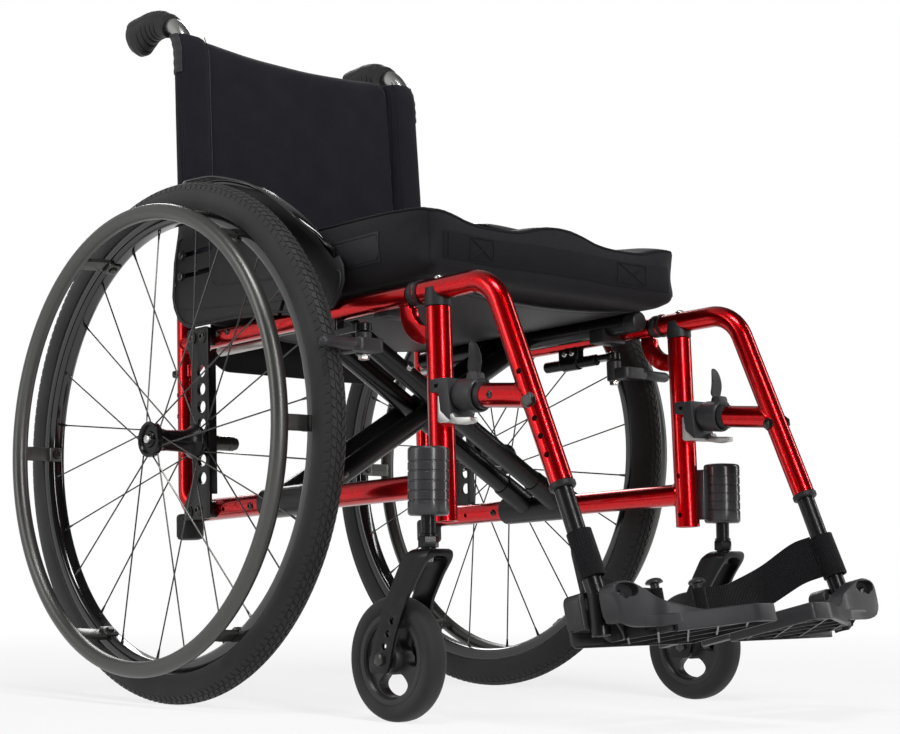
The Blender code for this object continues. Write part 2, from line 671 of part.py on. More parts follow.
def make_hanger():
    bar = tube(HANGER_PATH, HANGER_TUBE, 12)
    stop = turned(
        [(0, 0), (0, 0.0100), (0.0035, 0.0128), (0.0075, 0.0128), (0.0110, 0.0080), (0.0110, 0)],
        (X, -0.3550, TOP_Z), (0, 1, 0), 12,
    )
    fuse(
        bar,
        stop,
        rod(STRUT_START, STRUT_END, 0.0122, 12),
        rod((X, POST_Y, 0.3450), (X, POST_Y, TOP_Z), 0.0092, 12),
    )
    lean = Vector((0, -math.sin(HANGER_LEAN), -math.cos(HANGER_LEAN)))
    end = Vector((X, HANGER_END_Y, HANGER_END_Z))
    holes = [
        rod((X - 0.02, on_hanger(z), z), (X + 0.02, on_hanger(z), z), 0.0030, 6)
        for z in (0.3180, 0.2700, 0.2400)
    ]
    carve(bar, rod(end - lean * 0.024, end + lean * 0.010, clear(EXTENSION_TUBE, 10), 10))
    carve(bar, gathered(holes))
    pair("hanger_tube", sloped(bar), RED)
    profile = [(0.3989, 0.0100), (0.3989, 0.0140), (0.4125, 0.0140), (0.4125, 0.0100)]
    collar = turned(profile, (X, POST_Y, 0), (0, 0, 1), 12, ring=True)
    carve(collar, tube(HANGER_PATH, clear(HANGER_TUBE, 12), 12))
    pair("hanger_bushing", sloped(collar), BLACK)
    along = (Vector(STRUT_END) - Vector(STRUT_START)).normalized()
    start = Vector(STRUT_START)
    latch = block((0.1745, -0.4180, 0.2765), (0.2055, -0.3850, 0.3225), 0.0015)
    fuse(
        latch,
        block((0.1765, -0.4160, 0.2725), (0.2035, -0.3850, 0.2780)),
        block((0.1735, -0.4040, 0.3110), (0.2065, -0.3800, 0.3225), 0.0015),
        rod(start - along * 0.0190, start + along * 0.0138, 0.0172, 14),
        block((0.1745, -0.4455, 0.3080), (0.1795, -0.4335, 0.3300)),
        block((0.2005, -0.4455, 0.3080), (0.2055, -0.4335, 0.3300)),
        rod((0.1760, LEVER_Y, LEVER_Z), (0.2040, LEVER_Y, LEVER_Z), 0.0022, 8),
    )
    carve(
        latch,
        post_bar(hole=True),
        rod(start - along * 0.0012, start + along * 0.0500, clear(0.0122, 12), 12),
    )
    pair("hanger_latch", sloped(latch), GREY)
    barrel = [(-0.0102, 0.0026), (-0.0102, 0.0052), (0.0102, 0.0052), (0.0102, 0.0026)]
    lever = turned(barrel, (X, LEVER_Y, LEVER_Z), (1, 0, 0), 10, ring=True)
    outline = [
        (-0.4330, 0.3285), (-0.4250, 0.3370), (-0.4275, 0.3570), (-0.4340, 0.3590),
        (-0.4415, 0.3550), (-0.4485, 0.3450), (-0.4500, 0.3370), (-0.4455, 0.3290),
        (-0.4418, 0.3303), (-0.4370, 0.3303),
    ]
    fuse(lever, prism(outline, "X", X - 0.0060, X + 0.0060))
    pair("latch_lever", sloped(lever), GREY)


# Extension tube, flip-up footplate and heel loop, in the level world frame
HINGE = SLOPE @ Vector((X, on_hanger(HINGE_Z), HINGE_Z))
PLATE = Matrix.Translation(HINGE) @ Matrix.Rotation(-PLATE_TILT, 4, "X")


def on_plate(u, v, n):
    """A place on the plate: u inboard, v forward, n up from the hinge."""
    return PLATE @ Vector((-u, -v, n))


def plate_block(lo, hi, bevel=0.0):
    return moved(block((-hi[0], -hi[1], lo[2]), (-lo[0], -lo[1], hi[2]), bevel), PLATE)


def make_extension():
    lean = Vector((0, -math.sin(HANGER_LEAN), -math.cos(HANGER_LEAN)))
    end = Vector((X, HANGER_END_Y, HANGER_END_Z))
    below = SLOPE @ Vector((X, on_hanger(HINGE_Z) - 0.0066, HINGE_Z - 0.0168))
    bar = rod(SLOPE @ (end - lean * 0.022), below, EXTENSION_TUBE, 10)
    fuse(
        bar,
        rod(SLOPE @ (end + lean * GAP), SLOPE @ (end + lean * 0.0060), 0.0128, 12),
        rod(on_plate(0, -0.0136, 0), on_plate(0, 0.0146, 0), 0.0112, 12),
        rod(on_plate(0, -0.0230, 0), on_plate(0, 0.0400, 0), 0.0040, 8),
    )
    pair("extension_tube", bar, BLACK)


def make_footplate():
    top, low = -0.0195, -0.0365
    reach = PLATE_REACH
    front = PLATE_FRONT
    rear = front - PLATE_DEPTH
    outline = [
        (-0.0150, rear), (reach, rear), (reach, front), (reach - 0.030, front),
        (0.030, 0.046), (-0.0150, 0.036),
    ]
    slab = prism([(-u, -v) for u, v in outline], "Z", low, top)
    lug = [
        (-0.0130, -0.0330), (-0.0130, 0.0010), (-0.0105, 0.0075), (-0.0050, 0.0112),
        (0.0040, 0.0118), (0.0120, 0.0095), (0.0290, -0.0050), (0.0480, -0.0190), (0.0480, -0.0330),
    ]
    lugs = [
        prism([(-u, n) for u, n in lug], "Y", -0.0460, -0.0150),
        block((-0.0110, 0.0142, -0.0330), (0.0130, 0.0260, 0.0110), 0.0015),
    ]
    fuse(slab, *lugs)
    pockets = []
    columns = [(0.022, 0.064), (0.068, 0.111), (0.115, 0.1570)]
    for n, (a, b) in enumerate(columns):
        ahead = (0.040, 0.047, front - 0.0050)[n]
        pockets.append(block((-b, 0.0010, -0.04), (-a, -rear - 0.0035, top - 0.0032)))
        pockets.append(block((-b, -ahead, -0.04), (-a, -0.0030, top - 0.0032)))
    pockets.append(block((-0.0200, -0.0150, -0.05), (0.0155, 0.0142, top + 0.01)))
    carve(slab, gathered(pockets))
    edge = [(-reach - 0.001, -0.0295), (-reach + 0.027, -0.0370), (-reach - 0.001, -0.0370)]
    local = prism([(x, z) for x, z in edge], "Y", -0.09, 0.04)
    carve(slab, local)
    fuse(
        slab,
        block((-0.1600, -rear - 0.0040, -0.0330), (-0.1500, -rear + 0.0340, -0.0270)),
        turned(
            [(-0.0300, 0), (-0.0300, 0.0045), (0.0300, 0.0045), (0.0300, 0.0090),
             (0.0340, 0.0065), (0.0360, 0)],
            (-0.1530, -rear + 0.0290, 0), (0, 0, 1), 10,
        ),
    )
    carve(slab, rod((0, 0.030, 0), (0, -0.0405, 0), clear(0.0040, 8), 8))
    carve(slab, rod((0, -0.0435, 0), (0, -0.0470, 0), 0.0062, 10))
    pair("footplate", moved(slab, PLATE), GREY)


def make_heel_loop():
    lean = (SLOPE.to_3x3() @ Vector((0, math.sin(HANGER_LEAN), math.cos(HANGER_LEAN)))).normalized()
    base = SLOPE @ Vector((X, on_hanger(0.1195), 0.1195))
    bore = clear(EXTENSION_TUBE, 12)
    profile = [(0, bore), (0, 0.0138), (0.042, 0.0138), (0.042, bore)]
    wrap = turned(profile, base, lean, 12, ring=True)
    post = on_plate(0.153, PLATE_FRONT - PLATE_DEPTH - 0.0290, 0.0110)
    path = [
        (X - 0.002, base.y + 0.016, base.z + 0.016),
        (X - 0.010, base.y + 0.040, base.z + 0.006),
        (X - 0.040, base.y + 0.056, base.z - 0.007),
        (0.100, post.y + 0.002, base.z - 0.014),
        (0.062, post.y - 0.001, post.z),
        (post.x + 0.006, post.y + 0.0010, post.z),
    ]
    halves = (0.0180, 0.0180, 0.0175, 0.0165, 0.0150, 0.0130)
    thick = 0.0013
    ups = [lean] + [lean.lerp(Vector((0, 0.15, 1)), k / 5) for k in range(1, 6)]
    points = []
    for i, p in enumerate(path):
        p = Vector(p)
        ahead = Vector(path[min(i + 1, 5)]) - Vector(path[max(i - 1, 0)])
        up = ups[i].normalized()
        side = ahead.cross(up).normalized() * thick
        half = halves[i]
        points += [p - up * half - side, p - up * half + side, p + up * half + side, p + up * half - side]
    faces = [(3, 2, 1, 0), (20, 21, 22, 23)]
    for i in range(5):
        for k in range(4):
            a, b = 4 * i + k, 4 * i + (k + 1) % 4
            faces.append((a, b, b + 4, a + 4))
    band = solid(points, faces)
    carve(band, rod(base - lean * 0.02, base + lean * 0.07, 0.0110, 12))
    loop = moved(
        turned([(-0.0150, 0.0049), (-0.0150, 0.0078), (0.0140, 0.0078), (0.0140, 0.0049)],
               (0, 0, 0), (0, 0, 1), 10, ring=True),
        Matrix.Translation(post) @ Matrix.Rotation(-PLATE_TILT, 4, "X"),
    )
    carve(band, moved(rod((0, 0, -0.04), (0, 0, 0.04), 0.0062, 10),
                      Matrix.Translation(post) @ Matrix.Rotation(-PLATE_TILT, 4, "X")))
    fuse(wrap, band, loop)
    carve(wrap, rod(on_plate(0, -0.0160, 0), on_plate(0, 0.0170, 0), 0.0120, 12))
    pair("heel_loop", wrap, CLOTH)


# Scissor cross-brace: each arm is two tubes between a hinge barrel and the opposite seat rail
def make_brace():
    rise = RAIL_Z - BOTTOM_Z
    run = FRAME_X + RAIL_X
    along = Vector((run, 0, rise)).normalized()
    for name, sign, shift in (("cross_arm_a", 1, -BRACE_PITCH), ("cross_arm_b", -1, 0.0)):
        front = BRACE_FRONT_Y + shift
        rear = front + BRACE_SPREAD
        foot = -sign * FRAME_X
        head = sign * RAIL_X
        ring = [
            (front - 0.0240, clear(BOTTOM_TUBE, 14)), (front - 0.0240, 0.0170),
            (rear + 0.0240, 0.0170), (rear + 0.0240, clear(BOTTOM_TUBE, 14)),
        ]
        arm = turned(ring, (foot, 0, BOTTOM_Z), (0, 1, 0), 14, ring=True)
        bars = []
        for y in (front, rear):
            a = Vector((foot, y, BOTTOM_Z)) + Vector((sign * along.x, 0, along.z)) * 0.0140
            b = Vector((head, y, RAIL_Z))
            bars.append(tube([a, b], BRACE_TUBE, 10))
        fuse(arm, gathered(bars))
        tie = Vector((foot, 0, BOTTOM_Z)).lerp(Vector((head, 0, RAIL_Z)), 0.86)
        fuse(arm, rod((tie.x, front, tie.z), (tie.x, rear, tie.z), 0.0080, 8))
        carve(
            arm,
            rod((head, front - 0.05, RAIL_Z), (head, rear + 0.05, RAIL_Z), clear(RAIL_TUBE, 14), 14),
            rod((0, front - 0.05, PIVOT_Z), (0, rear + 0.05, PIVOT_Z), clear(0.0039, 8), 8),
        )
        keep(name, sloped(arm), BLACK)
    front = BRACE_FRONT_Y - BRACE_PITCH - BRACE_TUBE
    rear = BRACE_FRONT_Y + BRACE_SPREAD + BRACE_TUBE
    bolt = turned(
        [(front - 0.0060, 0), (front - 0.0060, 0.0072), (front - 0.0006, 0.0085),
         (front - 0.0006, 0.0039), (rear + 0.0006, 0.0039), (rear + 0.0006, 0.0080),
         (rear + 0.0060, 0.0080), (rear + 0.0060, 0)],
        (0, 0, PIVOT_Z), (0, 1, 0), 10,
    )
    keep("pivot_bolt", sloped(bolt), STEEL)
    rail = turned(
        [(-0.3474, 0), (-0.3474, 0.0080), (-0.3450, RAIL_TUBE), (0.0240, RAIL_TUBE),
         (0.0260, 0.0085), (0.0260, 0)],
        (RAIL_X, 0, RAIL_Z), (0, 1, 0), 14,
    )
    pair("seat_rail", sloped(rail), BLACK)


# Soft parts
def make_sling():
    upper, lower = [], []
    thick = 0.0018
    r = RAIL_TUBE + GAP
    for a in (-8, 20, 45, 70, 95):
        c = math.radians(a)
        lower.append((RAIL_X + r / math.cos(0.22) * math.cos(c), RAIL_Z + r / math.cos(0.22) * math.sin(c)))
        upper.append((RAIL_X + (r + thick) * math.cos(c), RAIL_Z + (r + thick) * math.sin(c)))
    for x, drop in ((0.130, 0.0040), (0.090, 0.0075), (0.045, 0.0095), (0.0, 0.0100)):
        lower.append((x, RAIL_Z + r - drop))
        upper.append((x, RAIL_Z + r + thick - drop))
    top = upper + [(-x, z) for x, z in reversed(upper[:-1])]
    under = lower + [(-x, z) for x, z in reversed(lower[:-1])]
    outline = top + list(reversed(under))
    sheet = prism(outline, "Y", -0.3450, 0.0150)
    keep("seat_sling", sloped(sheet), CLOTH)


def make_cushion():
    pad = block(
        (-CUSHION_HALF, -0.3780, CUSHION_BOTTOM_Z), (CUSHION_HALF, 0.0350, CUSHION_TOP_Z), 0.010, 2
    )
    keep("cushion", sloped(pad), CLOTH)


def cane_at(z):
    """The cane's centre at a height below the push grip."""
    for a, b in zip(CANE_PATH, CANE_PATH[1:]):
        if a.z <= z <= b.z:
            return a.lerp(b, (z - a.z) / (b.z - a.z))
    return CANE_FOOT


def make_back():
    def ring(z):
        c = cane_at(z)
        k = min(0.0142, 0.2030 - c.x) / 0.0142
        edge = [(-0.1070, 0.0180), (-0.0320, 0.0120), (-0.0150, 0.0136)] + arc((0, 0), 0.0142, 80, -80, 6)
        edge += [(-0.0180, -0.0136), (-0.0280, -0.0090), (-0.0320, -0.0010), (-0.1070, 0.0030)]
        half = [(c.x + u * k, c.y + v * k) for u, v in edge]
        right = [(-x, y) for x, y in reversed(half)]
        loop = half + [(0, c.y + 0.0030 * k)] + right + [(0, c.y + 0.0180 * k)]
        return [(x, y, z) for x, y in loop]

    bend = CANE_PATH[-6].z
    heights = [BACK_BOTTOM_Z, CANE_WAIST.z, bend, (bend + BACK_TOP_Z) / 2, BACK_TOP_Z]
    rows = [ring(z) for z in heights]
    n = len(rows[0])
    faces = [tuple(range(n)), tuple(range(len(rows) * n - 1, (len(rows) - 1) * n - 1, -1))]
    for row in range(len(rows) - 1):
        for i in range(n):
            a, b = row * n + i, row * n + (i + 1) % n
            faces.append((a, b, b + n, a + n))
    panel = solid([p for row in rows for p in row], faces)
    flap = [(-0.150, 0.480), (-0.150, 0.402), (-0.130, 0.390), (0.130, 0.390), (0.150, 0.402), (0.150, 0.480)]
    fuse(panel, prism(flap, "Y", CANE_FOOT.y + 0.0040, CANE_FOOT.y + 0.0070))
    for sign in (1, -1):
        path = [Vector((sign * p.x, p.y, p.z)) for p in CANE_PATH]
        path[0] -= (path[1] - path[0]).normalized() * 0.01
        carve(panel, tube(path, clear(0.0105, 12), 12))
    keep("back_upholstery", sloped(panel), CLOTH)


make_side_frame()
make_frame_foot()
make_back_cane()
make_push_grip()
make_axle_plate()
make_axle()
make_release_button()
make_rear_wheel()
make_caster()
make_wheel_lock()
make_rail_saddle()
make_side_guard()
make_hanger()
make_extension()
make_footplate()
make_heel_loop()
make_brace()
make_sling()
make_cushion()
make_back()

# The origin is on the floor, under the middle of the whole chair
spread = [v.co.y for obj in pieces.values() for v in obj.data.vertices]
CENTRE_Y = (min(spread) + max(spread)) / 2
TO_FLOOR = Matrix.Translation((0, -CENTRE_Y, 0))
for obj in pieces.values():
    obj.data.transform(TO_FLOOR)


# Joint frames: an empty on each axis, and the pieces that turn or slide with it
def joint(name, place, names, parent=None, level=False):
    place = Vector(place)
    if not level:
        place = SLOPE @ place
    empty = bpy.data.objects.new(name, None)
    bpy.context.scene.collection.objects.link(empty)
    empty.empty_display_size = 0.03
    empty.location = TO_FLOOR @ place
    bpy.context.view_layer.update()
    if parent:
        world = empty.matrix_world.copy()
        empty.parent = parent
        empty.matrix_parent_inverse = parent.matrix_world.inverted()
        empty.matrix_world = world
        bpy.context.view_layer.update()
    for piece in names:
        obj = pieces[piece]
        obj.data.transform(Matrix.Translation(-(TO_FLOOR @ place)))
        obj.location = TO_FLOOR @ place
        obj.parent = empty
        obj.matrix_parent_inverse = empty.matrix_world.inverted()
    return empty


FRAME_PIECES = (
    "side_frame", "frame_foot", "back_cane", "push_grip", "axle_plate", "axle",
    "lock_clamp", "rail_saddle", "side_guard", "caster_housing",
)
HANGER_PIECES = ("hanger_tube", "hanger_bushing", "hanger_latch", "extension_tube", "heel_loop")
brace_y = BRACE_FRONT_Y


def fittings(side, sign, frame):
    x = sign
    hinge = joint("swing_" + side, (x * X, POST_Y, TOP_Z), [n + "_" + side for n in HANGER_PIECES], frame)
    joint("lever_" + side, (x * X, LEVER_Y, LEVER_Z), ["latch_lever_" + side], hinge)
    joint("flip_" + side, (x * HINGE.x, HINGE.y, HINGE.z), ["footplate_" + side], hinge, level=True)
    joint("lock_" + side, (x * LOCK_X, LOCK_Y, LOCK_Z), ["lock_arm_" + side], frame)
    joint(
        "wheel_" + side, (x * WHEEL_X, 0, AXLE_Z),
        [n + "_" + side for n in ("rear_tyre", "rear_rim", "rear_hub", "handrim")], frame, level=True,
    )
    joint("button_" + side, (x * 0.2811, 0, AXLE_Z), ["release_button_" + side], frame, level=True)
    fork = joint(
        "swivel_" + side, (x * CASTER_X, CASTER_STEM_Y, 0.2010), ["caster_fork_" + side], frame, level=True
    )
    joint(
        "roll_" + side, (x * CASTER_X, CASTER_STEM_Y + CASTER_TRAIL, CASTER_RADIUS),
        ["caster_wheel_" + side, "caster_tyre_" + side], fork, level=True,
    )


right = joint(
    "frame_right", (-X, brace_y, BOTTOM_Z),
    [n + "_right" for n in FRAME_PIECES] + ["cushion", "back_upholstery"],
)
arm_a = joint("fold", (-X, brace_y, BOTTOM_Z), ["cross_arm_a", "seat_rail_left", "pivot_bolt"], right)
arm_b = joint("scissor", (0, brace_y, PIVOT_Z), ["cross_arm_b", "seat_rail_right", "seat_sling"], arm_a)
left = joint("frame_left", (X, brace_y, BOTTOM_Z), [n + "_left" for n in FRAME_PIECES], arm_b)
fittings("right", -1, right)
fittings("left", 1, left)
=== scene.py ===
"""Folding wheelchair: dresses the chair's frame with its finished pieces, floor, light and camera."""

import math

import bpy
from mathutils import Matrix, Vector
from mathutils.bvhtree import BVHTree


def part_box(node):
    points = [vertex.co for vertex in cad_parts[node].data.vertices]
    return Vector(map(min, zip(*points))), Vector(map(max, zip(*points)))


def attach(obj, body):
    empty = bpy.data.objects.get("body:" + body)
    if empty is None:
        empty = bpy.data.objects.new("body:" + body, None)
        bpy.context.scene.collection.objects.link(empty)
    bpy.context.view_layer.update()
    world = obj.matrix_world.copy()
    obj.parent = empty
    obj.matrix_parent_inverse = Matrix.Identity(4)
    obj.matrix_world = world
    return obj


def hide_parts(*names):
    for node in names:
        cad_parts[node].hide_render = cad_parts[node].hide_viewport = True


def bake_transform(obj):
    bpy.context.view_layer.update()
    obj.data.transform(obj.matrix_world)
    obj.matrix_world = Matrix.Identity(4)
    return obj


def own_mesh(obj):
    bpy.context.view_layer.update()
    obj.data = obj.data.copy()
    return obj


bl_info = {
    "name": "Folding wheelchair",
    "version": (1, 0, 0),
    "blender": (4, 5, 0),
    "location": "View3D > Sidebar > Wheelchair",
    "description": "Builds the painted, upholstered and tyred pieces of a folding wheelchair",
    "category": "Object",
}

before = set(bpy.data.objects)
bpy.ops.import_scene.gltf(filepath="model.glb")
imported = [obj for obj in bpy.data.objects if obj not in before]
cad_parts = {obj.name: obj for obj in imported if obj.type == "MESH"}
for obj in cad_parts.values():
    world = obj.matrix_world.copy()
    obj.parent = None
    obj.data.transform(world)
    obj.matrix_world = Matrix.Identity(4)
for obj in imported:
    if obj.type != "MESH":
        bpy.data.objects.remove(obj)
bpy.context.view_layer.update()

# Sizes that the frame gives, in metres. Y is counted from the rear axle, Z from the floor.
tyre_low, tyre_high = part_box("rear_tyre_left")
AXLE_Y = (tyre_low.y + tyre_high.y) / 2
AXLE_Z = (tyre_low.z + tyre_high.z) / 2
WHEEL_RADIUS = (tyre_high.z - tyre_low.z) / 2
WHEEL_X = (tyre_low.x + tyre_high.x) / 2
TYRE_HALF = (tyre_high.x - tyre_low.x) / 2
RIM_LOW = WHEEL_RADIUS - 0.0470
HANDRIM_RADIUS = 0.255
HANDRIM_X = 0.297
HANDRIM_TUBE = 0.009
HANDRIM_TABS = 6
SPOKES = 24
SLOPE_ANGLE = math.radians(2.3)
SLOPE = (
    Matrix.Translation((0, 0, AXLE_Z))
    @ Matrix.Rotation(-SLOPE_ANGLE, 4, "X")
    @ Matrix.Translation((0, 0, -AXLE_Z))
)
HOME = Matrix.Translation((0, AXLE_Y, 0))
FRAME_X = X = 0.190
POST_TUBE = 0.0135
LOWER_TUBE = 0.0125
TOP_TUBE = 0.0110
TOP_FRONT_Y = -0.3425
POST_Y = -0.3815
UPRIGHT_Y = 0.0575
TOP_Z = 0.4168
BOTTOM_Z = 0.2185
RAIL_X = 0.163
RAIL_Z = 0.4215
BRACE_A_Y = -0.1630
BRACE_B_Y = -0.1865
BRACE_SPREAD = 0.0520
BRACE_TUBE = 0.0116
HANGER_LEAN = math.radians(21.5)
HANGER_KNEE_Y = -0.4610
HANGER_END_Z = 0.2075
PLATE_TILT = math.radians(13.3)
PLATE_REACH = 0.162
PLATE_DEPTH = 0.108
PLATE_FRONT = 0.072
POST_U = 0.1565
HINGE_Z = 0.0960
BACK_TOP_Z = 0.8045
LOCK_Z = 0.3690
LOCK_X = 0.1975
LOCK_Y = -0.2732
ROD_Y = -0.2927
LEVER_Y = -0.4395
LEVER_Z = 0.3262
CASTER_X = 0.229
STEM_Y = -0.4045
CASTER_RADIUS = 0.0615
CASTER_Y = STEM_Y + 0.0445
GUARD_IN = 0.2036
GUARD_OUT = 0.2062
CUSHION_HALF = 0.1965
CUSHION_FRONT = -0.3780
CUSHION_REAR = 0.0350
CUSHION_LOW = 0.4352
CUSHION_TOP = 0.5060

# Directions of the chair: OUT is outboard on its left side, which is drawn first
OUT = (1, 0, 0)
REAR = (0, 1, 0)
UP = (0, 0, 1)


def linear(code):
    """A hex colour as the linear colour that shaders take."""
    parts = [int(code[i:i + 2], 16) / 255 for i in (1, 3, 5)]
    return [c / 12.92 if c <= 0.04045 else ((c + 0.055) / 1.055) ** 2.4 for c in parts]


# What a user would change
def length(name, description, default):
    return bpy.props.FloatProperty(
        name=name, description=description, default=default, min=0.0, precision=4, unit="LENGTH"
    )


def colour(name, description, code):
    return bpy.props.FloatVectorProperty(
        name=name, description=description, default=linear(code), min=0.0, max=1.0, size=3, subtype="COLOR"
    )


class ChairSizes(bpy.types.PropertyGroup):
    """Sizes of the detail that lies on the frame's own sizes"""

    tread_pitch: length("Tread pitch", "Distance between tread blocks round the tyre", 0.0102)
    tread_depth: length("Tread depth", "Height of the tread blocks", 0.0013)
    spoke: length("Spoke", "Radius of a wheel spoke", 0.0009)
    flake: length("Flake", "Width of a flake in the candy lacquer", 0.0007)
    cloth_thread: length("Back thread", "Distance between threads of the back's cloth", 0.0016)
    webbing_rib: length("Webbing rib", "Distance between the ribs of the strap webbing", 0.0026)
    trough: length("Leg trough", "Depth of the two leg troughs in the cushion", 0.0105)
    piping: length("Piping", "Radius of the cushion's seam", 0.0016)


class ChairColours(bpy.types.PropertyGroup):
    """Colours of the chair's finishes"""

    red: colour("Candy red", "Lacquer of the frame tubes", "#D2000C")
    # painted shade: the darker red that the lacquer is mixed to where a tube turns edge on
    edge_shade_red: colour("Deep red", "Lacquer where it is seen edge on", "#4E0206")
    powder: colour("Powder coat", "Brace tubes, axle plates, seat rails and rims", "#0E0E0F")
    alloy: colour("Black alloy", "Anodised hubs, forks and lock clamps", "#1E1E1F")
    nylon: colour("Moulded nylon", "Housings, latches and plates", "#2C2C2E")
    rubber: colour("Rubber", "Tyres, grips and feet", "#1C1C1C")
    steel: colour("Bright steel", "Screws, pins, canes, handrims and spokes", "#B9B9B6")
    cloth: colour("Cloth", "Back, seat and cushion", "#17171A")


# Shape tools
def fresh():
    """Back in object mode with nothing selected."""
    if bpy.context.object and bpy.context.object.mode != "OBJECT":
        bpy.ops.object.mode_set(mode="OBJECT")
    bpy.ops.object.select_all(action="DESELECT")


def pick(obj):
    """The one selected and active object."""
    fresh()
    obj.select_set(True)
    bpy.context.view_layer.objects.active = obj


def edit(obj):
    """All of an object selected in edit mode."""
    pick(obj)
    bpy.ops.object.mode_set(mode="EDIT")
    bpy.ops.mesh.select_all(action="SELECT")
    return obj


def closed_up(obj):
    """Doubles merged and faces turned outwards, back in object mode."""
    bpy.ops.mesh.select_all(action="SELECT")
    bpy.ops.mesh.remove_doubles(threshold=1e-5)
    bpy.ops.mesh.normals_make_consistent(inside=False)
    bpy.ops.object.mode_set(mode="OBJECT")
    return obj


def linked(name, data):
    """A new object in the scene."""
    obj = bpy.data.objects.new(name, data)
    bpy.context.scene.collection.objects.link(obj)
    return obj


def meshed(name, points, edges, faces):
    """A new object with a mesh of these points."""
    mesh = bpy.data.meshes.new(name)
    mesh.from_pydata(points, edges, faces)
    return linked(name, mesh)


def modify(obj, kind, **settings):
    """A modifier with its settings, applied."""
    pick(obj)
    made = obj.modifiers.new(kind.lower(), kind)
    for key, value in settings.items():
        setattr(made, key, value)
    bpy.ops.object.modifier_apply(modifier=made.name)
    return obj


def rounded(obj, width, segments=2, angle=35):
    """Edges sharper than an angle rounded over."""
    return modify(
        obj, "BEVEL", width=width, segments=segments, limit_method="ANGLE", angle_limit=math.radians(angle)
    )


def sketch(points, closed=True):
    """A wire through points, open in edit mode."""
    chain = [(i, i + 1) for i in range(len(points) - 1)]
    if closed:
        chain.append((len(points) - 1, 0))
    return edit(meshed("sketch", [tuple(p) for p in points], chain, []))


def lathe(profile, centre, along, steps=32):
    """A profile of (distance along, radius) spun round an axis."""
    along = Vector(along).normalized()
    guide = Vector(UP) if abs(along.z) < 0.7 else Vector(REAR)
    out = (guide - along * guide.dot(along)).normalized()
    centre = Vector(centre)
    obj = sketch(
        [centre + along * d + out * r for d, r in profile], profile[0][1] > 0 and profile[-1][1] > 0
    )
    bpy.ops.mesh.spin(steps=steps, angle=2 * math.pi, center=centre, axis=along)
    return closed_up(obj)


def rod(a, b, radius, sides=24, edge=0.0):
    """A round bar from a to b, its ends chamfered."""
    a, b = Vector(a), Vector(b)
    d = (b - a).length
    profile = [(0, 0), (0, radius - edge), (edge, radius), (d - edge, radius), (d, radius - edge), (d, 0)]
    if not edge:
        profile = [(0, 0), (0, radius), (d, radius), (d, 0)]
    return lathe(profile, a, b - a, sides)


def plate(outline, axis, lo, hi, edge=0.0, segments=2):
    """An outline of (u, v) points extruded along X, Y or Z."""
    def spot(u, v, w):
        return Vector({"X": (w, u, v), "Y": (u, w, v), "Z": (u, v, w)}[axis])

    obj = sketch([spot(u, v, lo) for u, v in outline])
    bpy.ops.mesh.edge_face_add()
    bpy.ops.mesh.extrude_region_move(TRANSFORM_OT_translate={"value": spot(0, 0, hi - lo)})
    closed_up(obj)
    return rounded(obj, edge, segments) if edge else obj


def box(lo, hi, edge=0.0, segments=2):
    """A cuboid between two corners with rounded edges."""
    lo, hi = Vector(lo), Vector(hi)
    fresh()
    bpy.ops.mesh.primitive_cube_add(size=1, location=(lo + hi) / 2, scale=hi - lo)
    obj = bpy.context.object
    bpy.ops.object.transform_apply()
    return rounded(obj, edge, segments) if edge else obj


def pipe(path, radius, sides=24, ring=False):
    """A round tube along a path. radius may be a list, one per point."""
    radii = radius if isinstance(radius, (list, tuple)) else [radius] * len(path)
    curve = bpy.data.curves.new("pipe", "CURVE")
    curve.dimensions = "3D"
    curve.bevel_depth = 1.0
    curve.bevel_resolution = sides // 2 - 2
    curve.use_fill_caps = not ring
    line = curve.splines.new("POLY")
    line.points.add(len(path) - 1)
    line.use_cyclic_u = ring
    for point, place, r in zip(line.points, path, radii):
        point.co = (*place, 1)
        point.radius = r
    pick(linked("pipe", curve))
    bpy.ops.object.convert(target="MESH")
    return closed_up(edit(bpy.context.object))


def loft(rings):
    """A closed skin over rings of equally many points."""
    n = len(rings[0])
    points = [tuple(p) for ring in rings for p in ring]
    faces = []
    for row in range(len(rings) - 1):
        for i in range(n):
            a, b = row * n + i, row * n + (i + 1) % n
            faces.append((a, b, b + n, a + n))
    faces.append(tuple(reversed(range(n))))
    faces.append(tuple(range(len(points) - n, len(points))))
    return closed_up(edit(meshed("loft", points, [], faces)))


def combined(obj, tool, operation, **more):
    """One solid less another, or only what both fill. The tool goes."""
    modify(obj, "BOOLEAN", operation=operation, solver="EXACT", object=tool, **more)
    bpy.data.objects.remove(tool, do_unlink=True)


def cut(obj, *tools):
    """A solid less its tools."""
    for tool in tools:
        combined(obj, tool, "DIFFERENCE")
    return obj


def joined(*parts):
    """Several shapes in one piece."""
    parts = [p for p in parts if p]
    pick(parts[0])
    for part in parts[1:]:
        part.select_set(True)
    bpy.ops.object.join()
    return bpy.context.object


def turn(obj, matrix):
    """The shape moved by a matrix."""
    obj.data.transform(matrix)
    return obj


def copied(obj, matrices):
    """The shape once at each matrix, in one piece."""
    made = []
    for matrix in matrices:
        twin = linked("copy", obj.data.copy())
        twin.data.transform(matrix)
        made.append(twin)
    bpy.data.objects.remove(obj, do_unlink=True)
    return joined(*made)


def filleted(points, radius, steps=12):
    """The path with each inner corner replaced by an arc."""
    points = [Vector(p) for p in points]
    path = [points[0]]
    for before, corner, after in zip(points, points[1:], points[2:]):
        back = (before - corner).normalized()
        ahead = (after - corner).normalized()
        half = back.angle(ahead) / 2
        reach = radius / math.tan(half)
        middle = corner + (back + ahead).normalized() * (radius / math.sin(half))
        start = corner + back * reach - middle
        axis = start.cross(corner + ahead * reach - middle)
        for k in range(steps + 1):
            path.append(middle + Matrix.Rotation((math.pi - 2 * half) * k / steps, 3, axis) @ start)
    path.append(points[-1])
    return path


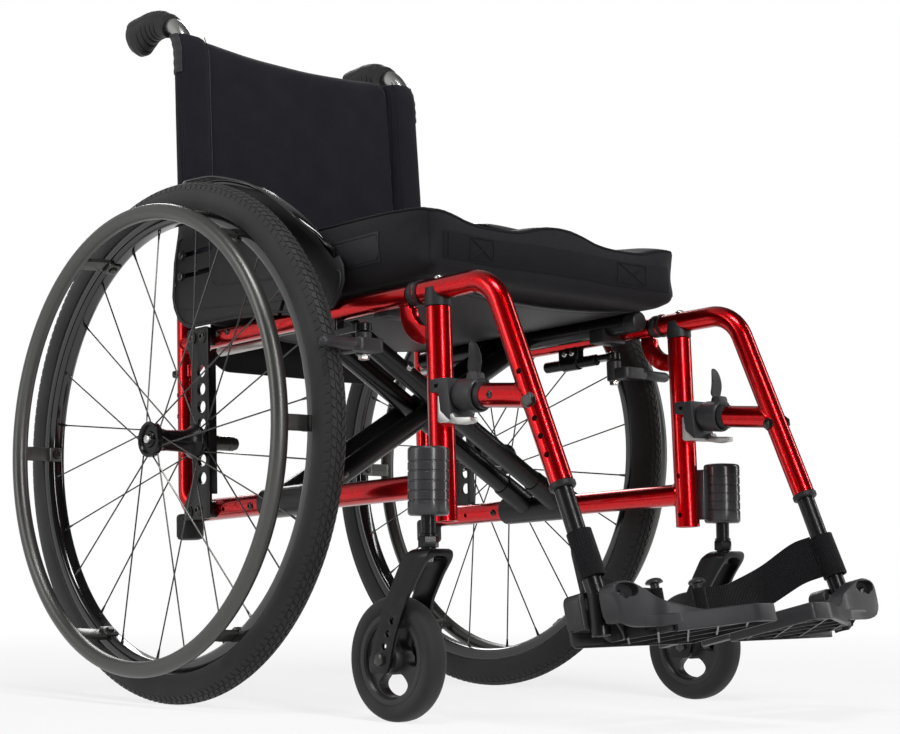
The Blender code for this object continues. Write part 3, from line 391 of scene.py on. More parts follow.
def arc(centre, radius, start, end, steps):
    """Points on an arc in a plane, angles in degrees."""
    found = []
    for k in range(steps + 1):
        a = math.radians(start + (end - start) * k / steps)
        found.append((centre[0] + radius * math.cos(a), centre[1] + radius * math.sin(a)))
    return found


def eased_step(a, b, v):
    """0 below a, 1 above b and a smooth change between."""
    t = min(max((v - a) / (b - a), 0.0), 1.0)
    return t * t * (3 - 2 * t)


def symmetric(side):
    """A profile of (distance along, radius) followed by its mirror image."""
    return side + [(-d, r) for d, r in reversed(side)]


def softened(outline, radius, steps=4):
    """A closed outline with every corner rounded by up to that radius."""
    found = []
    n = len(outline)
    for i in range(n):
        before, corner, after = (Vector(outline[(i + k) % n]) for k in (-1, 0, 1))
        reach = min(radius, (before - corner).length * 0.45, (after - corner).length * 0.45)
        a = corner + (before - corner).normalized() * reach
        b = corner + (after - corner).normalized() * reach
        for k in range(steps + 1):
            t = k / steps
            found.append(tuple(a * (1 - t) ** 2 + corner * 2 * t * (1 - t) + b * t ** 2))
    return found


def bead(points, radius=0.0017, ring=True):
    """A weld bead: a line of overlapping ripples."""
    rich = []
    n = len(points) if ring else len(points) - 1
    for i in range(n):
        a, b = Vector(points[i]), Vector(points[(i + 1) % len(points)])
        count = max(int((b - a).length / 0.0006), 1)
        rich += [a.lerp(b, k / count) for k in range(count)]
    radii = [radius * (0.82 + 0.18 * abs(math.sin(1.25 * k))) for k in range(len(rich))]
    return pipe(rich, radii, 8, ring)


def button_screw(place, along, radius=0.0042, height=0.0022):
    """A domed screw head with a hexagon socket."""
    along = Vector(along).normalized()
    place = Vector(place)
    profile = [(-0.0006, 0), (-0.0006, radius), (height * 0.3, radius), (height * 0.75, radius * 0.82)]
    profile += [(height, radius * 0.5), (height, 0)]
    head = lathe(profile, place, along, 20)
    socket = lathe(
        [(height * 0.35, 0), (height * 0.35, radius * 0.42), (height * 1.4, radius * 0.42),
         (height * 1.4, 0)],
        place, along, 6,
    )
    return cut(head, socket)


def hex_head(place, along, radius=0.0065, height=0.0040, washer=0.0):
    """A hexagon bolt head with a chamfered top, on a washer if it has one."""
    along = Vector(along).normalized()
    place = Vector(place)
    head = lathe(
        [(0, 0), (0, radius), (height * 0.8, radius), (height, radius * 0.8), (height, 0)], place, along, 6
    )
    if washer:
        return joined(head, lathe([(-0.0008, 0), (-0.0008, washer), (0.0004, washer), (0.0004, 0)], place,
                                  along, 24))
    return head


def mirrored(obj):
    """The same shape on the other side of the chair, with its own mesh."""
    twin = linked("twin", obj.data.copy())
    twin.data.transform(Matrix.Scale(-1, 4, OUT))
    twin.data.flip_normals()
    return twin


def place(obj, name, body, finish, slot, nodes=(), level=True, smooth=35):
    """A finished piece: laid in the chair's frame, named, painted and handed to its body."""
    obj.data.transform(HOME @ SLOPE if level else HOME)
    obj.name = obj.data.name = name
    obj.data.materials.clear()
    obj.data.materials.append(paint(finish))
    pick(obj)
    bpy.ops.object.shade_smooth_by_angle(angle=math.radians(smooth))
    if body:
        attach(obj, body)
    if nodes:
        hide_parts(*nodes)
    return obj


def both(obj, name, part, finish, slot, nodes=(), level=True, smooth=35):
    """A left-hand piece and its mirror image on the right."""
    for side, one in (("left", obj), ("right", mirrored(obj))):
        own = [n + "_" + side for n in nodes]
        place(one, name + "_" + side, side + "_" + part, finish, slot, own, level, smooth)


# Finishes
def add(mat, kind, inputs=None, **settings):
    """A shader node with its settings, values and links."""
    made = mat.node_tree.nodes.new("ShaderNode" + kind)
    for key, value in settings.items():
        setattr(made, key, value)
    for key, value in (inputs or {}).items():
        if isinstance(value, bpy.types.NodeSocket):
            mat.node_tree.links.new(value, made.inputs[key])
        else:
            made.inputs[key].default_value = value
    return made


def surface(name, base, roughness, metallic=0.0, **more):
    """A plain finish, ready for its pattern."""
    mat = bpy.data.materials.new(name)
    mat.use_nodes = True
    shader = mat.node_tree.nodes["Principled BSDF"]
    values = {"Base Color": (*base, 1), "Roughness": roughness, "Metallic": metallic}
    values.update(more)
    for key, value in values.items():
        shader.inputs[key].default_value = value
    mat.diffuse_color = (*base, 1)
    return mat, shader


def grain(mat, shader, size, depth, rough, base, spread=0.35):
    """Fine grain: bump, roughness between two values and a slight change of shade."""
    spot = add(mat, "TexCoord").outputs["Object"]
    fine = add(mat, "TexNoise", {"Vector": spot, "Scale": 1 / size, "Detail": 3.0}).outputs[0]
    broad = add(mat, "TexNoise", {"Vector": spot, "Scale": 14.0, "Detail": 2.0}).outputs[0]
    low, high = rough
    worn = add(mat, "MapRange", {"Value": broad, "From Min": 0.3, "From Max": 0.7, "To Min": low,
                                 "To Max": high})
    link = mat.node_tree.links.new
    link(worn.outputs[0], shader.inputs["Roughness"])
    dark = tuple(c * (1 - spread * 0.5) for c in base) + (1,)
    light = tuple(c * (1 + spread) for c in base) + (1,)
    shade = add(mat, "MixRGB", {"Fac": fine, "Color1": dark, "Color2": light})
    link(shade.outputs[0], shader.inputs["Base Color"])
    bump = add(mat, "Bump", {"Height": fine, "Distance": depth, "Strength": 1.0})
    link(bump.outputs[0], shader.inputs["Normal"])


def weave(mat, shader, base, warp, weft, depth, axes=("X", "Z"), uv=False, spread=0.5):
    """Crossed threads at two pitches in metres, as bump and shade."""
    spot = add(mat, "TexCoord").outputs["UV" if uv else "Object"]
    link = mat.node_tree.links.new
    waves = []
    for pitch, axis in zip((warp, weft), axes):
        wave = add(
            mat, "TexWave", {"Vector": spot, "Scale": 0.314159 / pitch, "Distortion": 0.0},
            bands_direction=axis, wave_profile="SIN",
        )
        waves.append(wave.outputs[1])
    crossed = add(mat, "Math", {0: waves[0], 1: waves[1]}, operation="MULTIPLY").outputs[0]
    cloudy = add(mat, "TexNoise", {"Vector": spot, "Scale": 30.0, "Detail": 4.0}).outputs[0]
    tone = add(mat, "Math", {0: crossed, 1: cloudy}, operation="MULTIPLY").outputs[0]
    dark = tuple(c * (1 - spread) for c in base) + (1,)
    light = tuple(c * (1 + spread * 2.4) for c in base) + (1,)
    shade = add(mat, "MixRGB", {"Fac": tone, "Color1": dark, "Color2": light})
    link(shade.outputs[0], shader.inputs["Base Color"])
    bump = add(mat, "Bump", {"Height": crossed, "Distance": depth, "Strength": 1.0})
    link(bump.outputs[0], shader.inputs["Normal"])


SPECULAR = "Specular IOR Level"
SHEEN = "Sheen Weight"
SHEEN_BLUR = "Sheen Roughness"


def candy_red_lacquer(c, s):
    """Candy lacquer over aluminium paint: deep clear red, fine flakes, painted shade that darkens the red
    towards the silhouettes, and a hard glossy coat.
    """
    mat, shader = surface(
        "candy_red_lacquer", c.red, 0.24, 0.97,
        **{"Coat Weight": 0.5, "Coat Roughness": 0.03, "Coat IOR": 1.45}
    )
    spot = add(mat, "TexCoord").outputs["Object"]
    link = mat.node_tree.links.new
    flake = add(mat, "TexVoronoi", {"Vector": spot, "Scale": 1 / s.flake}).outputs["Color"]
    glint = add(mat, "SeparateColor", {"Color": flake}).outputs[0]
    low = tuple(v * 0.75 for v in c.red) + (1,)
    high = tuple(min(v * 1.6 + 0.001, 1) for v in c.red) + (1,)
    body = add(mat, "MixRGB", {"Fac": glint, "Color1": low, "Color2": high}).outputs[0]
    # painted shade: towards the silhouettes the base colour turns to the darker red, as if the tube's sides
    # lay in shade
    edge = add(mat, "LayerWeight", {"Blend": 0.32}).outputs["Facing"]
    depth = add(mat, "MixRGB", {"Fac": edge, "Color1": body, "Color2": (*c.edge_shade_red, 1)})
    link(depth.outputs[0], shader.inputs["Base Color"])
    # orange peel in the coat, 6 mm from crest to crest
    peel = add(mat, "TexNoise", {"Vector": spot, "Scale": 170.0, "Detail": 1.0}).outputs[0]
    bump = add(mat, "Bump", {"Height": peel, "Distance": 0.00003, "Strength": 1.0})
    link(bump.outputs[0], shader.inputs["Coat Normal"])
    return mat


def back_cloth(c, s):
    """Dense nylon cloth of the back: square weave, soft sheen at the edges."""
    base = (c.cloth[0] * 1.5, c.cloth[1] * 1.5, c.cloth[2] * 1.8)
    mat, shader = surface("back_cloth", base, 0.82, **{SPECULAR: 0.12, SHEEN: 0.10, SHEEN_BLUR: 0.4})
    weave(mat, shader, base, s.cloth_thread, s.cloth_thread, 0.00018)
    return mat


def seat_cloth(c, s):
    """Coated nylon of the seat: smooth, slack and slightly shiny."""
    mat, shader = surface("seat_cloth", c.cloth, 0.5, **{SPECULAR: 0.2, SHEEN: 0.06, SHEEN_BLUR: 0.4})
    weave(mat, shader, tuple(v * 1.5 for v in c.cloth), s.cloth_thread, s.cloth_thread, 0.0001, ("X", "Y"))
    return mat


def cover_mesh(c, s):
    """Woven band on the cushion's front: flat, crossed threads."""
    mat, shader = surface("cover_mesh", c.cloth, 0.8, **{SPECULAR: 0.12, SHEEN: 0.10, SHEEN_BLUR: 0.4})
    weave(mat, shader, c.cloth, 0.0016, 0.0016, 0.00012, spread=0.3)
    return mat


def strap_webbing(c, s):
    """Polyester webbing: ribs along the strap, crossed by fine weft."""
    mat, shader = surface("strap_webbing", c.cloth, 0.78, **{SPECULAR: 0.15, SHEEN: 0.14, SHEEN_BLUR: 0.35})
    weave(mat, shader, c.cloth, s.webbing_rib, s.webbing_rib * 0.7, 0.0005, ("X", "Y"), uv=True, spread=0.6)
    return mat


PATTERNED = {
    made.__name__: made for made in (candy_red_lacquer, back_cloth, seat_cloth, cover_mesh, strap_webbing)
}

# Plain finishes with fine grain: colour and its share, roughness, metallic, size and depth of the grain in
# metres, range of the roughness, change of shade, other values
GRAINED = {
    # satin powder coat on steel: soft even gloss with a faint pebble
    "black_powder_coat": ("powder", 1, 0.4, 0, 0.0012, 0.00004, (0.24, 0.32), 0.2, {SPECULAR: 0.35}),
    # bead-blasted, anodised aluminium: dark, satin, with a metal's highlight
    "black_anodised": ("alloy", 1, 0.3, 0.65, 0.0008, 0.00002, (0.24, 0.32), 0.2, {}),
    # gloss black lacquer of the rims, the nipples and the mudguard flange: sharp reflections
    "polished_black": (
        "powder", 1, 0.18, 0, 0.0016, 0.000002, (0.10, 0.16), 0.15,
        {"Coat Weight": 0.5, "Coat Roughness": 0.08}
    ),
    # grey anodised tube of the canes: satin
    "grey_alloy": ("steel", 0.85, 0.26, 0.9, 0.0009, 0.00001, (0.22, 0.30), 0.15, {}),
    # handrim, anodised and brushed by hands: a soft broad highlight
    "satin_rim": ("steel", 0.20, 0.36, 0.85, 0.0010, 0.00001, (0.32, 0.42), 0.15, {}),
    # nylon from a polished mould, the stem housings: glossy
    "gloss_nylon": ("nylon", 1.2, 0.24, 0, 0.0012, 0.00002, (0.18, 0.28), 0.2, {}),
    # glass-filled nylon from a spark-eroded mould: dark grey, fine stipple, satin
    "moulded_nylon": ("nylon", 1, 0.5, 0, 0.0009, 0.00007, (0.34, 0.46), 0.3, {SPECULAR: 0.35}),
    # the same nylon in black
    "black_nylon": ("nylon", 0.55, 0.5, 0, 0.0009, 0.00008, (0.36, 0.5), 0.3, {SPECULAR: 0.3}),
    # carbon-black tyre rubber: matt with a greyish bloom
    "tyre_rubber": (
        "rubber", 1.15, 0.7, 0, 0.0014, 0.00012, (0.58, 0.74), 0.3,
        {SPECULAR: 0.35, SHEEN: 0.10, SHEEN_BLUR: 0.5}
    ),
    # soft moulded rubber of the push grips and feet: matt
    "grip_rubber": ("rubber", 1, 0.55, 0, 0.0010, 0.0001, (0.44, 0.58), 0.3, {SPECULAR: 0.28}),
    # zinc-plated steel screws and nuts: bright, a little uneven
    "bright_zinc": ("steel", 1, 0.25, 1.0, 0.0007, 0.00002, (0.18, 0.34), 0.15, {}),
    # black-oxide steel of the spokes, sleeves and dark screws: dark, a little glossy
    "dark_steel": ("steel", 0.12, 0.3, 0.85, 0.0007, 0.00002, (0.22, 0.36), 0.2, {}),
    # tumbled bare die casting under the latch and of the rail stays: soft grey metal
    "cast_alloy": ("steel", 1, 0.42, 1.0, 0.0011, 0.00008, (0.34, 0.5), 0.2, {}),
    # stretch knit of the cushion's cover: a soft grey bloom
    "cover_knit": (
        "cloth", 1, 0.75, 0, 0.0017, 0.00022, (0.66, 0.8), 0.55,
        {SPECULAR: 0.15, SHEEN: 0.16, SHEEN_BLUR: 0.35}
    ),
    # hook-and-loop tape: a rough, frayed pile
    "hook_tape": ("cloth", 2.2, 0.8, 0, 0.0016, 0.0007, (0.7, 0.85), 0.8, {SPECULAR: 0.2, SHEEN: 0.2}),
    # flexible vinyl of the bare patch on the cushion's side: smooth
    "vinyl_patch": ("cloth", 1.1, 0.42, 0, 0.0013, 0.00006, (0.36, 0.46), 0.25, {SPECULAR: 0.3}),
    # sewing thread and piping: black, matt
    "thread": ("cloth", 0.8, 0.7, 0, 0.0008, 0.00005, (0.6, 0.75), 0.3, {SPECULAR: 0.15}),
}


def paint(name):
    """A finish by name, made the first time that it is asked for."""
    found = bpy.data.materials.get(name)
    if found:
        return found
    colours = bpy.context.scene.chair_colours
    if name in PATTERNED:
        return PATTERNED[name](colours, bpy.context.scene.chair_sizes)
    colour_name, share, roughness, metallic, size, depth, rough, spread, more = GRAINED[name]
    base = tuple(v * share for v in getattr(colours, colour_name))
    mat, shader = surface(name, base, roughness, metallic, **more)
    grain(mat, shader, size, depth, rough, base, spread)
    return mat


# Lines that several pieces share
LOWER_LINE = filleted([(X, POST_Y, BOTTOM_Z), (X, UPRIGHT_Y, BOTTOM_Z), (X, UPRIGHT_Y, 0.455)], 0.028)
HANGER_END_Y = HANGER_KNEE_Y - (TOP_Z - HANGER_END_Z) * math.tan(HANGER_LEAN)
HANGER_LINE = filleted(
    [(X, -0.3500, TOP_Z), (X, HANGER_KNEE_Y, TOP_Z), (X, HANGER_END_Y, HANGER_END_Z)], 0.045, 20
)
CANE_LINE = filleted(
    [(X, UPRIGHT_Y, 0.4560), (0.1812, 0.0590, 0.5600), (0.1782, 0.0700, 0.8335), (0.1780, 0.1420, 0.8285)],
    0.055
)
PIVOT_Z = BOTTOM_Z + (RAIL_Z - BOTTOM_Z) * FRAME_X / (FRAME_X + RAIL_X)
DOWN = Vector((0, -math.sin(HANGER_LEAN), -math.cos(HANGER_LEAN)))


def on_hanger(z):
    """The level y of the hanger's down tube at a height."""
    return HANGER_KNEE_Y - (TOP_Z - z) * math.tan(HANGER_LEAN)


HINGE = SLOPE @ Vector((X, on_hanger(HINGE_Z), HINGE_Z))
PLATE = Matrix.Translation(HINGE) @ Matrix.Rotation(-PLATE_TILT, 4, "X")


def on_plate(u, v, n):
    """A place on the footplate: u inboard, v forward, n up from the hinge."""
    return PLATE @ Vector((-u, -v, n))


def cane_at(z):
    """The cane's centre at a height below the push grip."""
    for a, b in zip(CANE_LINE, CANE_LINE[1:]):
        if a.z <= z <= b.z:
            return a.lerp(b, (z - a.z) / (b.z - a.z))
    return CANE_LINE[0]


# Pieces
class ChairPart:
    """What the chair's operators share"""

    bl_options = {"REGISTER", "UNDO"}


class SideFrames(ChairPart, bpy.types.Operator):
    """Two lacquered side frames with their weld beads, rubber feet and screws"""

    bl_idname = "chair.side_frames"
    bl_label = "Side frames"

    def execute(self, context):
        bent = len(LOWER_LINE)
        radii = [LOWER_TUBE] * 2 + [LOWER_TUBE - 0.0015 * k / (bent - 3) for k in range(1, bent - 1)]
        lower = pipe(LOWER_LINE, radii, 36)
        for y in (-0.0285, -0.118):
            cut(lower, rod((X - 0.02, y, 0.2165), (X + 0.02, y, 0.2165), 0.0026, 16))
        post = lathe(
            [(0.2020, 0), (0.2020, 0.0113), (0.1810, 0.0113), (0.1810, 0.0131), (0.1815, POST_TUBE),
             (0.3979, POST_TUBE), (0.3985, 0.0129), (0.3985, 0)],
            (X, POST_Y, 0), UP, 40,
        )
        for z in (0.2389, 0.1945):
            cut(post, rod((X - 0.02, POST_Y, z), (X - 0.008, POST_Y, z), 0.0030, 16))
        front = (-0.368, 0.403)
        outline = [(TOP_FRONT_Y, 0.410), (-0.3270, 0.410)] + arc(front, 0.041, 0, -98, 20)
        outline += arc(front, 0.0215, -100, 0, 12) + [(TOP_FRONT_Y, 0.403)]
        gusset = plate(outline, "X", X - 0.0045, X + 0.0045, 0.0012, 3)
        rear = (UPRIGHT_Y - 0.004, TOP_Z - 0.004)
        web = plate(
            arc(rear, 0.036, 175, 275, 12) + arc(rear, 0.0215, 275, 175, 8), "X", X - 0.004, X + 0.004, 0.001
        )

        def seam(radius, axis_y, axis_z, reach, sign, of=POST_TUBE):
            """Where a tube meets the side of a round one."""
            found = []
            for k in range(28):
                a = 2 * math.pi * k / 28
                u, v = radius * math.cos(a), radius * math.sin(a)
                found.append((X + u, axis_y + sign * math.sqrt(max(of ** 2 - u ** 2, 0)) + reach, axis_z + v))
            return found

        beads = [
            bead(seam(LOWER_TUBE, POST_Y, BOTTOM_Z, 0.0004, 1), 0.0019),
            bead(seam(TOP_TUBE, UPRIGHT_Y, TOP_Z, -0.0004, -1, 0.0112), 0.0018),
        ]
        for side in (-0.0046, 0.0046):
            for y, z, step_y, step_z, count, radius in (
                (TOP_FRONT_Y, 0.4068, 0.0017, 0, 10, 0.0018), (POST_Y + 0.0128, 0.363, 0, 0.0020, 10, 0.0018),
                (UPRIGHT_Y - 0.0105, 0.378, 0, 0.0020, 8, 0.0015),
                (0.0190, TOP_Z - 0.0105, 0.0020, 0, 8, 0.0015),
            ):
                line = [(X + side, y + step_y * k, z + step_z * k) for k in range(count)]
                beads.append(bead(line, radius, False))
        top = pipe([(X, UPRIGHT_Y, TOP_Z), (X, TOP_FRONT_Y, TOP_Z)], TOP_TUBE, 32)
        frame = joined(lower, top, post, gusset, web, *beads)
        both(frame, "frame_tubes", "frame", "candy_red_lacquer", "red_paint", ["side_frame"])

        foot = lathe(
            [(0, 0), (0, 0.0105), (0.0012, 0.0140), (0.0045, 0.0158), (0.026, 0.0158), (0.0285, 0.0150),
             (0.030, 0.0132), (0.030, 0)],
            (X, UPRIGHT_Y - 0.004, 0.1862), UP, 36,
        )
        both(foot, "rubber_foot", "frame", "grip_rubber", "rubber", ["frame_foot"])
        plug = rod((X, POST_Y, 0.1825), (X, POST_Y, 0.190), 0.0112, 28, 0.0008)
        both(plug, "post_plug", "frame", "black_nylon", "black_plastic")
        out = Vector(OUT)
        screws = joined(
            button_screw((X + 0.0125, -0.0789, 0.2166), out),
            button_screw((X - 0.0125, -0.0789, 0.2166), -out),
            button_screw((X + 0.0108, -0.0191, 0.4190), out, 0.0036),
            button_screw((X + 0.0108, -0.0383, 0.4190), out, 0.0036),
            lathe([(0.0095, 0), (0.0095, 0.0046), (0.0142, 0.0046), (0.0164, 0.0036), (0.0172, 0)],
                  (X, UPRIGHT_Y, 0.3824), (0.72, 0.69, 0), 24),
            *(lathe([(0.0100, 0), (0.0100, 0.0026), (0.0114, 0.0026), (0.0114, 0)], (X, UPRIGHT_Y, z),
                    (0.90, 0.43, 0), 16)
              for z in (0.3570, 0.3319)),
        )
        both(screws, "frame_screws", "frame", "dark_steel", "bright_steel")
        return {"FINISHED"}


class Canes(ChairPart, bpy.types.Operator):
    """Back canes and their ribbed push grips"""

    bl_idname = "chair.canes"
    bl_label = "Canes and push grips"

    def execute(self, context):
        both(pipe(CANE_LINE, 0.0105, 32), "cane", "frame", "grey_alloy", "black_paint", ["back_cane"])
        x = CANE_LINE[-1].x
        stations = [
            (0.0975, 0.8215, 0.0140, 0.0140, 36), (0.1035, 0.8250, 0.0152, 0.0150, 30),
            (0.1160, 0.8295, 0.0165, 0.0152, 18), (0.1240, 0.8312, 0.0178, 0.0158, 10),
            (0.1330, 0.8320, 0.0188, 0.0158, 4), (0.1420, 0.8312, 0.0206, 0.0160, 0),
            (0.1500, 0.8288, 0.0228, 0.0160, -3), (0.1590, 0.8258, 0.0254, 0.0162, -4),
            (0.1690, 0.8262, 0.0250, 0.0160, -4), (0.1780, 0.8288, 0.0216, 0.0150, -4),
            (0.1840, 0.8308, 0.0160, 0.0115, -4), (0.1860, 0.8312, 0.0100, 0.0070, -4),
        ]
        rings = []
        sides = 56
        steps = 14
        for i in range(len(stations) - 1):
            for k in range(steps if i < len(stations) - 2 else steps + 1):
                t = k / steps
                y, z, high, wide, lean = (a + (b - a) * t for a, b in zip(stations[i], stations[i + 1]))
                along = (y - 0.106) / 0.0095
                rib = max(0.0, math.cos(2 * math.pi * along)) ** 14 if 0.109 < y < 0.158 else 0.0
                c, s = math.cos(math.radians(lean)), math.sin(math.radians(lean))
                ring = []
                for n in range(sides):
                    a = 2 * math.pi * n / sides
                    under = min(max(0.35 - 1.6 * math.sin(a), 0.0), 1.0)
                    inside = min(max((math.sin(a) - 0.42) * 9, 0.0), 1.0)
                    inside *= min(max(0.034 - abs(y - 0.147), 0.0) / 0.003, 1.0)
                    rim = 4 * inside * (1 - inside)
                    r = 1 - 0.16 * rib * under + 0.045 * inside - 0.05 * rim
                    v = high * math.sin(a) * r
                    ring.append((x + wide * math.cos(a) * r, y - v * s, z + v * c))
                rings.append(ring)
        grip = modify(loft(rings), "SUBSURF", levels=1, render_levels=1)
        both(grip, "grip", "frame", "grip_rubber", "rubber", ["push_grip"], smooth=50)
        return {"FINISHED"}


class AxlePlates(ChairPart, bpy.types.Operator):
    """Drilled axle plates with their clamps and screws, axle sleeves and release buttons"""

    bl_idname = "chair.axle_plates"
    bl_label = "Axle plates"

    def execute(self, context):
        outline = [
            (-0.0140, 0.2070), (0.0360, 0.2070), (0.0365, 0.2250), (0.0195, 0.2480),
            (0.0195, 0.3920), (0.0270, 0.4070), (0.0270, 0.4290), (-0.0140, 0.4290),
        ]
        slab = plate(softened(outline, 0.006), "X", 0.2066, 0.2106, 0.0007)
        parts = [
            box((0.1980, -0.0130, 0.4060), (0.2085, 0.0260, 0.4280), 0.002),
            box((0.1980, -0.0130, 0.2080), (0.2085, 0.0350, 0.2265), 0.002),
            plate(softened([(0.1990, -0.0140), (0.2096, -0.0140), (0.2096, -0.0105), (0.1990, -0.0115)],
                           0.001),
                  "Z", 0.2350, 0.4000, 0.0006),
        ]
        for k in (-2, -1, 1, 2, 3, 4):
            z = AXLE_Z + 0.0206 * k
            cut(slab, lathe(
                [(0.19, 0), (0.19, 0.0070), (0.2098, 0.0070), (0.2112, 0.0086), (0.22, 0.0086), (0.22, 0)],
                (0, 0, z), OUT, 28,
            ))
        cut(slab, rod((0.19, 0, AXLE_Z), (0.22, 0, AXLE_Z), 0.0091, 28))
        slab = joined(slab, *parts)
        both(slab, "axle_bracket", "frame", "black_powder_coat", "black_paint", ["axle_plate"])
        screws = joined(*(
            joined(
                button_screw((0.2108, y, z), OUT, 0.0056, 0.0030),
                lathe([(0, 0.0058), (0, 0.0072), (0.0012, 0.0072), (0.0012, 0.0058)], (0.2104, y, z), OUT,
                      28),
            )
            for y, z in ((0.0165, 0.4179), (-0.0039, 0.4175), (0.0270, 0.2164), (0.0080, 0.2175))
        ))
        both(screws, "axle_plate_screws", "frame", "dark_steel", "bright_steel")
        sleeve = lathe(
            [(0.1620, 0), (0.1620, 0.0064), (0.1632, 0.0074), (0.1660, 0.0074), (0.1672, 0.0086),
             (0.1740, 0.0086), (0.1746, 0.0080), (0.1752, 0.0086), (0.1900, 0.0086), (0.1904, 0.0096),
             (0.2062, 0.0096), (0.2062, 0.0087), (0.2110, 0.0087), (0.2110, 0.0056), (0.2765, 0.0056),
             (0.2765, 0)],
            (0, 0, AXLE_Z), OUT, 32,
        )
        nut = lathe(
            [(0.2110, 0.0056), (0.2110, 0.0128), (0.2152, 0.0128), (0.2160, 0.0112), (0.2160, 0.0056)],
            (0, 0, AXLE_Z), OUT, 6,
        )
        both(joined(sleeve, nut), "axle_pin", "frame", "dark_steel", "bright_steel", ["axle"], level=False)
        button = lathe(
            [(0.2811, 0), (0.2811, 0.0051), (0.2856, 0.0051), (0.2868, 0.0045), (0.2876, 0.0028),
             (0.2876, 0)],
            (0, 0, AXLE_Z), OUT, 28,
        )
        both(button, "pin_button", "button", "bright_zinc", "bright_steel", ["release_button"], level=False)
        return {"FINISHED"}


def round_wheel(count, offset=0.0):
    """Turns about the rear axle, one for each of what stands round it."""
    move = Matrix.Translation((0, 0, AXLE_Z))
    return [
        move @ Matrix.Rotation(math.radians(offset) + 2 * math.pi * k / count, 4, "X") for k in range(count)
    ]


